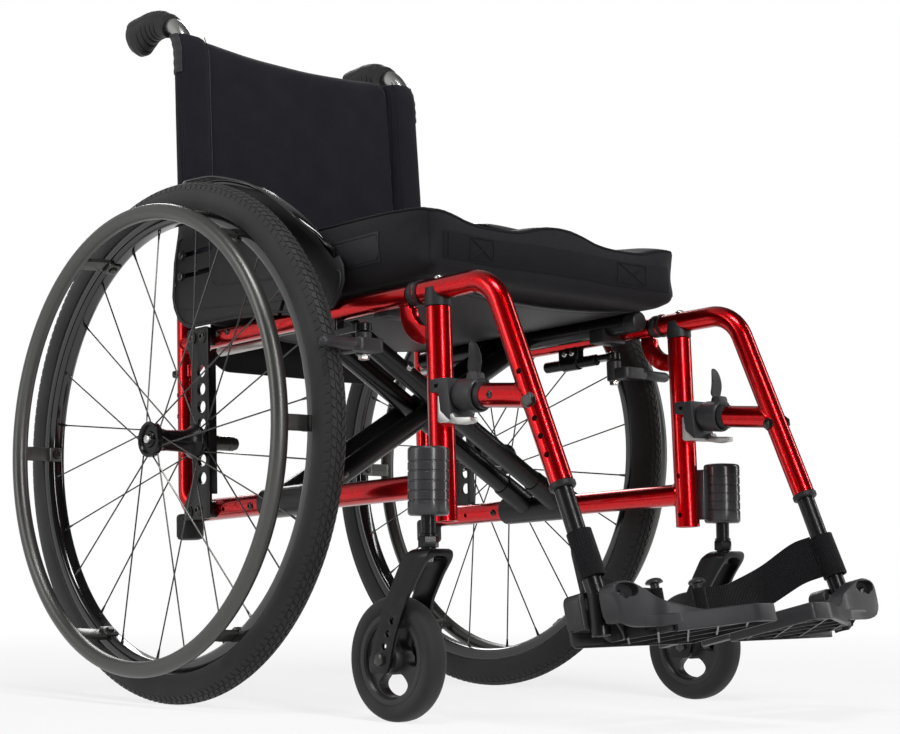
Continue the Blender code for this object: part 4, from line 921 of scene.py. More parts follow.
class RearWheels(ChairPart, bpy.types.Operator):
    """Rear wheels: treaded tyre, rim with nipples, crossed spokes, hub and handrim on six brackets"""

    bl_idname = "chair.rear_wheels"
    bl_label = "Rear wheels"

    def execute(self, context):
        sizes = context.scene.chair_sizes
        r, h = WHEEL_RADIUS, TYRE_HALF
        deep = sizes.tread_depth
        side = [
            (-0.0104, -0.0330), (-0.0128, -0.0318), (-0.0146, -0.0280), (-h + 0.0002, -0.0225), (-h, -0.0175),
            (-h + 0.0007, -0.0125 - deep * 0.5), (-0.0128, -0.0078 - deep), (-0.0098, -0.0043 - deep),
            (-0.0060, -0.0016 - deep), (-0.0020, -deep),
        ]
        body = lathe(symmetric([(x, r + d) for x, d in side]), (WHEEL_X, 0, AXLE_Z), OUT, 120)
        count = round(2 * math.pi * r / sizes.tread_pitch)
        blocks = []
        taper = 0.00045
        edge = [(0.0, 0.0), (0.0020, 0.0), (0.0060, 0.0016), (0.0098, 0.0043), (0.0128, 0.0078),
                (0.0148, 0.0125)]

        def fall(u):
            """How far the carcass lies below the crown at a distance from the middle."""
            for (u0, d0), (u1, d1) in zip(edge, edge[1:]):
                if u <= u1:
                    return d0 + (d1 - d0) * (u - u0) / (u1 - u0)
            return edge[-1][1]

        for sign in (1, -1):
            for x0, x1, slant, wide, shift in (
                (0.0005, 0.0046, 0.0052, 0.0076, 0.0), (0.0056, 0.0092, 0.0034, 0.0080, 0.42),
                (0.0102, 0.0136, -0.0020, 0.0078, 0.70),
            ):
                half = wide / 2
                rings = []
                for k in range(3):
                    u = x0 + (x1 - x0) * k / 2
                    low, top = r - fall(u) - deep - 0.0012, r - fall(u)
                    lean = slant * (k / 2) ** 1.4
                    rings.append([
                        (WHEEL_X + sign * u, lean - half, low), (WHEEL_X + sign * u, lean + half, low),
                        (WHEEL_X + sign * u, lean + half - taper, top),
                        (WHEEL_X + sign * u, lean - half + taper, top),
                    ])
                turns = round_wheel(count, 360 / count * (shift + (0.5 if sign < 0 else 0.0)))
                blocks.append(copied(loft(rings), turns))
        both(joined(body, *blocks), "tyre", "wheel", "tyre_rubber", "tyre", ["rear_tyre"], level=False,
             smooth=28)

        side = [
            (-0.0112, r - 0.0332), (-0.0112, RIM_LOW + 0.0062), (-0.0100, RIM_LOW + 0.0036),
            (-0.0066, RIM_LOW + 0.0004), (-0.0040, RIM_LOW),
        ]
        rim = lathe(symmetric(side), (WHEEL_X, 0, AXLE_Z), OUT, 120)
        both(rim, "rim", "wheel", "polished_black", "black_alloy", ["rear_rim"], level=False)

        profile = [
            (0.2168, 0.0061), (0.2168, 0.0150), (0.2176, 0.0190), (0.2190, 0.0197), (0.2225, 0.0197),
            (0.2238, 0.0188),
            (0.2270, 0.0160), (0.2330, 0.0134), (0.2440, 0.0122), (0.2600, 0.0120), (0.2690, 0.0132),
            (0.2740, 0.0160),
            (0.2762, 0.0194), (0.2775, 0.0202), (0.2835, 0.0202), (0.2845, 0.0194), (0.2845, 0.0166),
            (0.2836, 0.0158),
            (0.2812, 0.0150), (0.2812, 0.0096), (0.2830, 0.0086), (0.2830, 0.0058), (0.2800, 0.0058),
        ]
        hub = lathe(profile, (0, 0, AXLE_Z), OUT, 48)
        both(hub, "hub", "wheel", "black_anodised", "black_alloy", ["rear_hub"], level=False)
        spokes, nipples = [], []
        tip = RIM_LOW + 0.0010
        for k in range(SPOKES):
            outer = k % 2 == 0
            x0 = 0.2790 if outer else 0.2205
            x1 = WHEEL_X + (0.003 if outer else -0.003)
            a = 2 * math.pi * (k + 0.5) / SPOKES
            b = a + (0.6 if outer else -0.6) * (1 if k % 4 < 2 else -1)
            start = Vector((x0, 0.0172 * math.sin(b), AXLE_Z + 0.0172 * math.cos(b)))
            end = Vector((x1, tip * math.sin(a), AXLE_Z + tip * math.cos(a)))
            spokes.append(rod(start, end, sizes.spoke, 8))
            along = (end - start).normalized()
            nipples.append(lathe(
                [(0, 0), (0, 0.0011), (0.006, 0.0015), (0.0105, 0.0019), (0.0122, 0.0024), (0.0122, 0)],
                end - along * 0.0122, along, 10,
            ))
        both(joined(*spokes), "spokes", "wheel", "dark_steel", "black_alloy", level=False)
        both(joined(*nipples), "nipples", "wheel", "polished_black", "black_alloy", level=False)

        ring = []
        for k in range(28):
            a = 2 * math.pi * k / 28
            ring.append((HANDRIM_TUBE * math.cos(a), HANDRIM_RADIUS + HANDRIM_TUBE * math.sin(a)))
        rail = lathe(ring, (HANDRIM_X, 0, AXLE_Z), OUT, 140)
        low = RIM_LOW
        arm = plate(
            softened([
                (WHEEL_X + 0.0095, low + 0.0062), (WHEEL_X + 0.0095, low + 0.0012),
                (WHEEL_X + 0.0230, low + 0.0004),
                (HANDRIM_X - 0.0070, low - 0.0010), (HANDRIM_X + 0.0020, low + 0.0004),
                (HANDRIM_X + 0.0020, low + 0.0050), (HANDRIM_X - 0.0080, low + 0.0042),
                (WHEEL_X + 0.0230, low + 0.0066),
            ], 0.003),
            "Y", -0.0085, 0.0085, 0.0009,
        )
        pad = box((WHEEL_X - 0.0040, -0.0085, low - 0.0026), (WHEEL_X + 0.0135, 0.0085, low + 0.0016), 0.0012)
        tabs = copied(joined(arm, pad), round_wheel(HANDRIM_TABS, 29))
        both(joined(rail, tabs), "push_rim", "wheel", "satin_rim", "black_alloy", ["handrim"], level=False)
        bolt = hex_head((WHEEL_X + 0.0045, 0, low - 0.0022), (0, 0, -1), 0.0046, 0.0030, 0.0058)
        both(copied(bolt, round_wheel(HANDRIM_TABS, 29)), "rim_bolts", "wheel", "dark_steel", "bright_steel",
             level=False)
        return {"FINISHED"}


class Casters(ChairPart, bpy.types.Operator):
    """Casters: grooved stem housing, bent fork with its axle holes, three-spoke wheel and tyre"""

    bl_idname = "chair.casters"
    bl_label = "Casters"

    def execute(self, context):
        x, y, z = CASTER_X, STEM_Y, CASTER_RADIUS
        ribs = []
        for k in range(5):
            low = 0.2150 + 0.0096 * k
            ribs += [(low - 0.0004, 0.0205), (low, 0.0202), (low + 0.0002, 0.0197), (low + 0.0012, 0.0197),
                     (low + 0.0014, 0.0202), (low + 0.0018, 0.0205)]
        body = lathe(
            [(0.2010, 0), (0.2010, 0.0176), (0.2014, 0.0190), (0.2026, 0.0201), (0.2044, 0.0205)] + ribs
            + [(0.2650, 0.0205), (0.2668, 0.0201), (0.2680, 0.0190), (0.2688, 0.0165), (0.2694, 0.0080),
               (0.2695, 0)],
            (x, y, 0), UP, 64,
        )
        cut(body, rod((x, y, 0.19), (x, y, 0.2040), 0.0100, 28))
        arm = box((0.2008, y + 0.0040, 0.2050), (x - 0.006, y + 0.0300, 0.2620), 0.003, 3)
        cut(arm, rod((X, POST_Y, 0.15), (X, POST_Y, 0.30), 0.0138, 36))
        both(joined(body, arm), "stem_housing", "frame", "gloss_nylon", "black_paint", ["caster_housing"],
             level=False)

        wheel_y = CASTER_Y
        side = softened([
            (-0.0190, 0.1690), (0.0080, 0.1690), (0.0190, 0.1600), (0.0300, 0.1414), (0.0440, 0.1121),
            (0.0550, 0.0826),
            (0.0622, 0.0560), (0.0600, 0.0478), (0.0360, 0.0478), (0.0318, 0.0560), (0.0300, 0.0640),
            (0.0250, 0.0835),
            (0.0120, 0.1200), (-0.0040, 0.1440), (-0.0150, 0.1580),
        ], 0.0032, 4)
        fork = plate([(y + u, v) for u, v in side], "X", x - 0.0190, x + 0.0190)
        # seen from the front, the fork is rounded at the shoulders
        front = [(x - 0.0178, 0.03), (x + 0.0178, 0.03), (x + 0.0178, 0.1605)]
        front += arc((x + 0.0093, 0.1605), 0.0085, 0, 90, 8)
        front += arc((x - 0.0093, 0.1605), 0.0085, 90, 180, 8)
        shell = plate(front, "Y", y - 0.06, y + 0.09)
        combined(fork, shell, "INTERSECT")
        inner = [(x - 0.0138, 0.03), (x - 0.0138, 0.1500)] + arc((x - 0.0038, 0.1520), 0.0100, 180, 90, 6)
        inner += arc((x + 0.0038, 0.1520), 0.0100, 90, 0, 6) + [(x + 0.0138, 0.1500), (x + 0.0138, 0.03)]
        cut(fork, plate(inner, "Y", y - 0.06, y + 0.09))
        for up, back in ((0.0, 0.0), (0.0125, 0.0048), (0.0250, 0.0096), (0.0375, 0.0144)):
            if up:
                place_y, place_z = wheel_y - back, z + up
                cut(fork, rod((x - 0.03, place_y, place_z), (x + 0.03, place_y, place_z), 0.0034, 20))
        rounded(fork, 0.0009, 2, 40)
        modify(fork, "TRIANGULATE")
        # the legs stand further apart at the wheel
        for v in fork.data.vertices:
            t = min(max((0.150 - v.co.z) / 0.085, 0.0), 1.0)
            v.co.x += math.copysign(0.0050 * t * t * (3 - 2 * t), v.co.x - x)
        stem = joined(
            rod((x, y, 0.160), (x, y, 0.2060), 0.0074, 28, 0.0006),
            lathe([(0.1700, 0), (0.1700, 0.0098), (0.1708, 0.0104), (0.1800, 0.0104), (0.1810, 0.0096),
                   (0.1810, 0)],
                  (x, y, 0), UP, 6),
            rod((x, y, 0.1806), (x, y, 0.1840), 0.0088, 28, 0.0006),
        )
        both(joined(fork, stem), "fork", "fork", "black_anodised", "black_alloy", ["caster_fork"],
             level=False)
        bolts = joined(
            hex_head((x, y, 0.1612), (0, 0, -1), 0.0072, 0.0060, 0.0086),
            hex_head((x + 0.0227, wheel_y, z), OUT, 0.0068, 0.0040, 0.0076),
            hex_head((x - 0.0227, wheel_y, z), (-1, 0, 0), 0.0068, 0.0040, 0.0076),
            rod((x - 0.0227, wheel_y, z), (x + 0.0227, wheel_y, z), 0.0040, 20),
            lathe(symmetric([(-0.0188, 0.0042), (-0.0188, 0.0062)]), (x, wheel_y, z), OUT, 28),
        )
        both(bolts, "fork_bolts", "fork", "dark_steel", "bright_steel", level=False)

        centre = (x, wheel_y, z)
        disc = rod((-0.0062, 0, 0), (0.0062, 0, 0), 0.0400, 72)
        for k in range(3):
            window = []
            for n in range(40):
                c, q = math.cos(math.pi * n / 20), math.sin(math.pi * n / 20)
                a = math.radians(60) + math.radians(43) * math.copysign(abs(c) ** 0.62, c)
                d = 0.0262 + 0.0108 * math.copysign(abs(q) ** 0.62, q)
                window.append((d * math.cos(a), d * math.sin(a)))
            tool = plate(window, "X", -0.02, 0.02)
            cut(disc, turn(tool, Matrix.Rotation(2 * math.pi * k / 3, 4, "X")))
        rounded(disc, 0.0022, 3, 50)
        hub = lathe(
            symmetric([(-0.0130, 0.0048), (-0.0130, 0.0100), (-0.0120, 0.0118), (-0.0080, 0.0135)]),
            (0, 0, 0), OUT, 40,
        )
        rim = lathe(
            [(-0.0108, 0.0395), (-0.0112, 0.0415), (-0.0108, 0.0448), (0.0108, 0.0448), (0.0112, 0.0415),
             (0.0108, 0.0395), (0.0088, 0.0380), (-0.0088, 0.0380)], (0, 0, 0), OUT, 72,
        )
        wheel = turn(joined(disc, hub, rim), Matrix.Translation(centre) @ Matrix.Rotation(-0.5236, 4, "X"))
        both(wheel, "caster_disc", "caster", "moulded_nylon", "grey_plastic", ["caster_wheel"], level=False)
        r = CASTER_RADIUS
        side = [
            (-0.0104, r - 0.0168), (-0.0118, r - 0.0150), (-0.0126, r - 0.0110), (-0.0127, r - 0.0080),
            (-0.0120, r - 0.0046), (-0.0100, r - 0.0020), (-0.0068, r - 0.0005), (-0.0030, r),
        ]
        tyre = lathe(symmetric(side), centre, OUT, 96)
        both(tyre, "caster_tread", "caster", "tyre_rubber", "tyre", ["caster_tyre"], level=False)
        bearing = lathe(
            symmetric([(-0.0133, 0.0045), (-0.0133, 0.0086), (-0.0128, 0.0092)]), centre, OUT, 32
        )
        both(bearing, "caster_bearing", "caster", "dark_steel", "bright_steel", level=False)
        return {"FINISHED"}


class WheelLocks(ChairPart, bpy.types.Operator):
    """Wheel locks: clamp and bar on the top tube, pivoting arm with its rod, and the rail saddles"""

    bl_idname = "chair.wheel_locks"
    bl_label = "Wheel locks and saddles"

    def execute(self, context):
        clamp = box((0.1835, -0.2270, 0.3860), (0.1965, -0.1950, 0.4120), 0.0022, 3)
        clamp = joined(
            clamp,
            rod((0.1905, -0.2530, 0.3900), (0.1905, -0.1690, 0.3900), 0.0068, 28, 0.0008),
            rod((0.1905, -0.2240, 0.3900), (0.1905, -0.1980, 0.3900), 0.0086, 28, 0.0008),
            plate(softened([(0.1870, LOCK_Y - 0.004), (0.2025, LOCK_Y - 0.006), (0.2040, LOCK_Y + 0.008),
                            (0.2000, -0.2240), (0.1870, -0.2200)], 0.004), "Z", 0.3880, 0.3950, 0.0012),
            lathe([(0.3866, 0), (0.3866, 0.0080), (0.3876, 0.0090), (0.3952, 0.0090), (0.3962, 0.0080),
                   (0.3962, 0)],
                  (LOCK_X, LOCK_Y, 0), UP, 32),
            rod((LOCK_X, LOCK_Y, 0.3575), (LOCK_X, LOCK_Y, 0.3900), 0.0034, 20),
        )
        both(clamp, "lock_bracket", "frame", "black_anodised", "black_alloy", ["lock_clamp"])
        inward = Vector((-1, 0, 0))
        screws = joined(
            button_screw((0.1835, -0.2185, 0.4020), inward, 0.0040, 0.0022),
            button_screw((0.1835, -0.2065, 0.4020), inward, 0.0040, 0.0022),
            hex_head((LOCK_X, LOCK_Y, 0.3618), (0, 0, -1), 0.0062, 0.0048, 0.0070),
            button_screw((LOCK_X, LOCK_Y, 0.3962), UP, 0.0044, 0.0022),
        )
        both(screws, "lock_screws", "frame", "bright_zinc", "bright_steel")
        arm = lathe(
            [(0.3624, 0.0038), (0.3624, 0.0080), (0.3632, 0.0088), (0.3852, 0.0088), (0.3860, 0.0080),
             (0.3860, 0.0038)],
            (LOCK_X, LOCK_Y, 0), UP, 32,
        )
        web = plate(
            softened([(LOCK_X - 0.0070, LOCK_Y - 0.0050), (LOCK_X - 0.0075, ROD_Y - 0.0040),
                      (LOCK_X - 0.0020, ROD_Y - 0.0075),
                      (LOCK_X + 0.0240, ROD_Y - 0.0075), (LOCK_X + 0.0290, ROD_Y - 0.0030),
                      (LOCK_X + 0.0290, ROD_Y + 0.0058),
                      (LOCK_X + 0.0080, LOCK_Y - 0.0040)], 0.004),
            "Z", LOCK_Z - 0.0062, LOCK_Z + 0.0076, 0.0016, 3,
        )
        handle = lathe(
            [(0.0080, 0), (0.0080, 0.0060), (0.0300, 0.0062), (0.0315, 0.0056), (0.0330, 0.0062),
             (0.0690, 0.0062),
             (0.0725, 0.0052), (0.0745, 0.0034), (0.0755, 0)],
            (LOCK_X, ROD_Y, LOCK_Z), OUT, 32,
        )
        both(joined(arm, web, handle), "lock_lever", "lock_arm", "moulded_nylon", "black_alloy", ["lock_arm"])

        cradle = plate(
            softened([(0.1490, 0.4020), (0.1880, 0.4020), (0.1880, 0.4190), (0.1760, 0.4235),
                      (0.1740, 0.4190),
                      (0.1500, 0.4190), (0.1490, 0.4150)], 0.002),
            "Y", -0.3010, -0.2790, 0.0010,
        )
        cut(cradle, rod((RAIL_X, -0.32, RAIL_Z), (RAIL_X, -0.26, RAIL_Z), 0.0115, 36))
        cut(cradle, rod((X, -0.32, TOP_Z), (X, -0.26, TOP_Z), 0.0112, 36))
        both(cradle, "saddle", "frame", "black_nylon", "black_plastic", ["rail_saddle"])
        return {"FINISHED"}


class SideGuards(ChairPart, bpy.types.Operator):
    """Side guards: moulded panel with slots, raised contour and screws, under a mudguard flange"""

    bl_idname = "chair.side_guards"
    bl_label = "Side guards"

    def execute(self, context):
        rise = [(-0.262, 0.3073), (-0.2208, 0.3007), (-0.170, 0.2998), (-0.0982, 0.3036), (-0.0218, 0.3078),
                (0.046, 0.3110)]

        def on_arc(y, inward=0.0):
            """A place on the guard's crest."""
            for (y0, r0), (y1, r1) in zip(rise, rise[1:]):
                if y <= y1:
                    t = (y - y0) / (y1 - y0)
                    radius = r0 + (r1 - r0) * t * t * (3 - 2 * t) - inward
                    break
            angle = math.asin(y / radius)
            return (math.sin(angle) * radius, AXLE_Z + math.cos(angle) * radius)

        crest = [0.046 - 0.283 * k / 44 for k in range(45)]
        outline = [on_arc(y, 0.0078) for y in crest]
        lower = [
            (-0.2455, 0.4730), (-0.2520, 0.4620), (-0.2530, 0.4450), (-0.2440, 0.4270),
            (-0.2340, 0.4170), (-0.1900, 0.4165), (-0.1300, 0.4245), (-0.0600, 0.4305),
            (0.0300, 0.4320), (0.0420, 0.4370), (0.0520, 0.4460), (0.0600, 0.4600),
            (0.0630, 0.4740), (0.0590, 0.5147), (0.0495, 0.5500),
        ]
        panel = plate(outline + lower, "X", GUARD_IN, GUARD_OUT, 0.0008)
        for low in (0.4925, 0.5175):
            slot = softened([(-0.0185, low), (0.0390, low), (0.0390, low + 0.0058), (-0.0185, low + 0.0058)],
                            0.0028)
            cut(panel, plate(slot, "X", 0.20, 0.21))
        slit = plate(softened([(-0.0032, -0.0125), (0.0032, -0.0125), (0.0032, 0.0125), (-0.0032, 0.0125)],
                              0.003),
                     "X", -0.01, 0.01)
        cut(panel, turn(slit, Matrix.Translation((0.205, -0.1460, 0.4300)) @ Matrix.Rotation(0.5, 4, "X")))
        line = filleted([
            (GUARD_OUT, -0.0120, 0.5480), (GUARD_OUT, -0.0150, 0.4760), (GUARD_OUT, -0.1500, 0.4640),
            (GUARD_OUT, -0.2180, 0.4560),
        ], 0.014, 8)
        second = filleted([(GUARD_OUT, 0.0500, 0.4560), (GUARD_OUT, -0.1250, 0.4400),
                           (GUARD_OUT, -0.2300, 0.4380)], 0.03, 6)
        rolled = [(GUARD_OUT, *p) for p in softened([
            (-0.2480, 0.4560), (-0.2480, 0.4440), (-0.2405, 0.4300), (-0.2320, 0.4210), (-0.1900, 0.4205),
            (-0.1300, 0.4285),
            (-0.0600, 0.4345), (0.0290, 0.4362), (0.0400, 0.4410), (0.0482, 0.4490), (0.0560, 0.4620),
            (0.0585, 0.4740),
            (0.0545, 0.5140), (0.0470, 0.5420),
        ], 0.006)]
        crease = joined(pipe(line, 0.0009, 8), pipe(second, 0.0008, 8), pipe(rolled, 0.0011, 8))
        mounts = joined(
            box((0.1990, -0.2050, 0.4180), (0.2045, -0.1750, 0.4260), 0.0012),
            box((0.1990, 0.0400, 0.4420), (0.2045, 0.0500, 0.4540), 0.0012),
        )
        both(joined(panel, crease, mounts), "guard_panel", "frame", "black_nylon", "black_plastic",
             ["side_guard"])
        # the flange: narrow at both ends of the crest, rolled outwards over the tyre
        rings = []
        thick = 0.0023
        for n, y in enumerate(crest):
            fade = min(1.0, (n + 0.4) / 6, (len(crest) - n) / 9)
            fade = fade * fade * (3 - 2 * fade)
            over = 0.0185 * fade
            bend = min(0.0068, over + 0.0012)
            inner = max(bend - thick, 0.0002)
            brow = max(over, bend)
            outer, under = [], []
            for a in (180, 165, 150, 135, 120, 105, 90):
                c, q = math.cos(math.radians(a)), math.sin(math.radians(a))
                outer.append((GUARD_IN + bend * (1 + c), (1 - q) * bend))
                under.append((GUARD_IN + thick + inner * (1 + c), thick + (1 - q) * inner))
            outer += [(GUARD_IN + bend + (over - bend) * 0.6, 0.0), (GUARD_IN + brow, 0.0006),
                      (GUARD_IN + brow + 0.0006, 0.0022)]
            under += [(GUARD_IN + bend + (over - bend) * 0.6, thick), (GUARD_IN + brow, 0.0029)]
            ring = [(GUARD_IN, 0.0110)] + outer + list(reversed(under)) + [(0.2059, 0.0110)]
            rings.append([(u, *on_arc(y, drop)) for u, drop in ring])
        both(loft(rings), "mudguard", "frame", "polished_black", "black_plastic", smooth=55)
        screws = joined(
            hex_head((GUARD_OUT, 0.0412, 0.5204), OUT, 0.0050, 0.0028, 0.0068),
            hex_head((GUARD_OUT, 0.0430, 0.4954), OUT, 0.0050, 0.0028, 0.0068),
            button_screw((GUARD_OUT, 0.0560, 0.4880), OUT, 0.0030, 0.0016),
            button_screw((GUARD_OUT, -0.1880, 0.4230), OUT, 0.0034, 0.0018),
        )
        both(screws, "guard_screws", "frame", "dark_steel", "bright_steel")
        return {"FINISHED"}


class Hangers(ChairPart, bpy.types.Operator):
    """Swing-away hangers: bent tube and strut, end stop and bushing, latch and thumb lever"""

    bl_idname = "chair.hangers"
    bl_label = "Footrest hangers"

    def execute(self, context):
        bar = pipe(HANGER_LINE, 0.0118, 36)
        end = Vector((X, HANGER_END_Y, HANGER_END_Z))
        cut(bar, rod(end - DOWN * 0.024, end + DOWN * 0.010, 0.0100, 28))
        side = (DOWN.cross(Vector(OUT))).normalized()
        turned_out = math.radians(15)
        out = Vector((math.cos(turned_out), 0, 0)) + side * math.sin(turned_out)
        if out.y > 0:
            out = Vector((math.cos(turned_out), 0, 0)) - side * math.sin(turned_out)
        holes = []
        for z in (0.3161, 0.2688, 0.2512, 0.2330):
            middle = Vector((X, on_hanger(z), z))
            cut(bar, rod(middle + out * 0.0070, middle + out * 0.020, 0.0030, 16))
            # painted shade: a black disc at the bottom of each hole stands for the dark inside of the hollow
            # tube
            holes.append(rod(middle + out * 0.0062, middle + out * 0.0078, 0.0031, 16))
        start, stop = Vector((X, -0.4325, 0.3027)), Vector((X, -0.5085, 0.2940))
        strut = rod(start, stop, 0.0122, 36)
        along = (stop - start).normalized()
        ring = []
        axis_point = Vector((X, HANGER_KNEE_Y, TOP_Z))
        for k in range(36):
            a = 2 * math.pi * k / 36
            round_strut = Vector(OUT) * math.cos(a) + along.cross(Vector(OUT)) * math.sin(a)
            base = start + round_strut * 0.0120
            # where the strut's wall meets the down tube's wall
            off = base - axis_point
            off -= DOWN * off.dot(DOWN)
            way = along - DOWN * along.dot(DOWN)
            half = off.dot(way) / way.dot(way)
            rest = half ** 2 - (off.dot(off) - 0.0121 ** 2) / way.dot(way)
            ring.append(base + along * (-half - math.sqrt(max(rest, 0.0))))
        both(joined(bar, strut, bead(ring)), "hanger", "hanger", "candy_red_lacquer", "red_paint",
             ["hanger_tube"])
        # the black discs in the holes are painted shade
        both(joined(*holes), "hanger_holes", "hanger", "black_nylon", "black_plastic")

        pin = rod((X, POST_Y, 0.3450), (X, POST_Y, TOP_Z), 0.0092, 28, 0.001)
        both(pin, "hanger_pin", "hanger", "dark_steel", "bright_steel")
        stop_ring = lathe(
            [(0, 0), (0, 0.0100), (0.0010, 0.0118), (0.0030, 0.0130), (0.0075, 0.0130), (0.0095, 0.0120),
             (0.0102, 0.0092), (0.0106, 0.0060), (0.0106, 0)],
            (X, -0.3546, TOP_Z), REAR, 36,
        )
        groove = lathe(
            [(0, 0.0118), (0, 0.0134), (0.0030, 0.0136), (0.0034, 0.0118)], (X, -0.3600, TOP_Z), REAR, 36
        )
        collar = lathe(
            [(0.3989, 0.0100), (0.3989, 0.0134), (0.3994, 0.0140), (0.4080, 0.0140), (0.4090, 0.0136),
             (0.4180, 0.0134), (0.4180, 0.0100)], (X, POST_Y, 0), UP, 40,
        )
        cut(collar, pipe([(X, -0.36, TOP_Z), (X, -0.41, TOP_Z)], 0.0119, 36))
        # painted shade: a black ring on the strut, in the recess at the latch ring's end, stands for the
        # shade in that recess
        sleeve = lathe(
            [(0.0030, 0.0123), (0.0030, 0.0136), (0.0128, 0.0139), (0.0142, 0.0135), (0.0146, 0.0123)], start,
            along, 40
        )
        bushing = joined(stop_ring, groove, collar, sleeve)
        both(bushing, "bushing", "hanger", "black_nylon", "black_plastic", ["hanger_bushing"])
        cap = button_screw((X, -0.3841, TOP_Z + 0.0112), UP, 0.0052, 0.0030)
        both(cap, "hanger_cap", "hanger", "bright_zinc", "bright_steel")
        bolt_place = Vector((X, on_hanger(0.2867), 0.2867))
        bolts = joined(
            hex_head(bolt_place + out * 0.0112, out, 0.0066, 0.0042, 0.0078),
            hex_head(bolt_place - out * 0.0112, -out, 0.0060, 0.0036, 0.0072),
            button_screw(Vector((X + 0.0118, -0.4630, 0.2990)), OUT, 0.0040, 0.0018),
        )
        both(bolts, "hanger_bolts", "hanger", "dark_steel", "bright_steel")

        outline = softened([
            (-0.3830, 0.3230), (-0.4078, 0.3226), (-0.4120, 0.2795), (-0.4095, 0.2792), (-0.3990, 0.2885),
            (-0.3962, 0.2970),
            (-0.3950, 0.3085), (-0.3832, 0.3088),
        ], 0.0030, 5)
        latch = plate(outline, "X", 0.1735, 0.2065, 0.0022, 3)
        slot = joined(*(box((x0, -0.3955, 0.3135), (x0 + 0.008, -0.3890, 0.3172)) for x0 in (0.1700, 0.2030)))
        cut(latch, rod((X, POST_Y, 0.26), (X, POST_Y, 0.34), 0.0139, 40), slot)
        ring = lathe(
            [(-0.0210, 0.0060), (-0.0210, 0.0130), (-0.0196, 0.0150), (-0.0170, 0.0163), (-0.0130, 0.0171),
             (0.0040, 0.0174),
             (0.0068, 0.0170), (0.0080, 0.0160), (0.0076, 0.0148), (0.0040, 0.0142), (0.0020, 0.0124)],
            start, along, 56,
        )
        cheek = softened([
            (-0.4235, 0.3060), (-0.4250, 0.3140), (-0.4285, 0.3250), (-0.4320, 0.3262), (-0.4400, 0.3250),
            (-0.4425, 0.3140),
            (-0.4440, 0.3060),
        ], 0.0025, 4)
        ears = plate(cheek, "X", X - 0.0055, X + 0.0085, 0.0016, 3)
        pivot = rod((0.1800, LEVER_Y, LEVER_Z - 0.0100), (0.2000, LEVER_Y, LEVER_Z - 0.0100), 0.0019, 16)
        both(joined(latch, ring, ears, pivot), "latch", "hanger", "moulded_nylon", "grey_plastic",
             ["hanger_latch"])
        shoe = plate(softened([
            (-0.3962, 0.3050), (-0.3970, 0.2900), (-0.4080, 0.2806), (-0.4120, 0.2800), (-0.4125, 0.2770),
            (-0.3965, 0.2776),
            (-0.3930, 0.2795), (-0.3935, 0.3050),
        ], 0.0012, 3), "X", 0.1738, 0.2062, 0.0006)
        foot = plate(softened([
            (-0.4080, 0.2845), (-0.4150, 0.2860), (-0.4175, 0.2815), (-0.4395, 0.2795), (-0.4400, 0.2745),
            (-0.4250, 0.2735),
            (-0.4080, 0.2770),
        ], 0.0015, 3), "X", 0.1960, 0.2062, 0.0006)
        shoe = joined(shoe, foot)
        cut(shoe, rod((X, POST_Y, 0.26), (X, POST_Y, 0.34), 0.0139, 40))
        both(shoe, "latch_shoe", "hanger", "cast_alloy", "bright_steel")

        rings = []
        for z, y, half, thick in (
            (0.3215, -0.4325, 0.0060, 0.0022), (0.3245, -0.4320, 0.0068, 0.0022),
            (0.3270, -0.4305, 0.0088, 0.0019),
            (0.3300, -0.4310, 0.0095, 0.0018), (0.3376, -0.4331, 0.0097, 0.0018),
            (0.3468, -0.4325, 0.0083, 0.0017),
            (0.3534, -0.4311, 0.0064, 0.0016), (0.3566, -0.4297, 0.0040, 0.0013),
            (0.3576, -0.4292, 0.0018, 0.0007),
        ):
            # thumb pad: hollow in front, round at the edges
            ring = []
            for k in range(20):
                c, q = math.cos(k * math.pi / 10), math.sin(k * math.pi / 10)
                ring.append((X + half * c, y - thick * q + (0.0012 if k < 10 else 0.0) * q ** 2, z))
            rings.append(ring)
        thumb = modify(loft(rings), "SUBSURF", levels=2, render_levels=2)
        both(thumb, "thumb_lever", "lever", "black_nylon", "grey_plastic", ["latch_lever"])
        return {"FINISHED"}


def flipped(points):
    """Places of (inboard, forward) from the plate's hinge, as left-hand X and Y."""
    return [(-u, -v) for u, v in points]


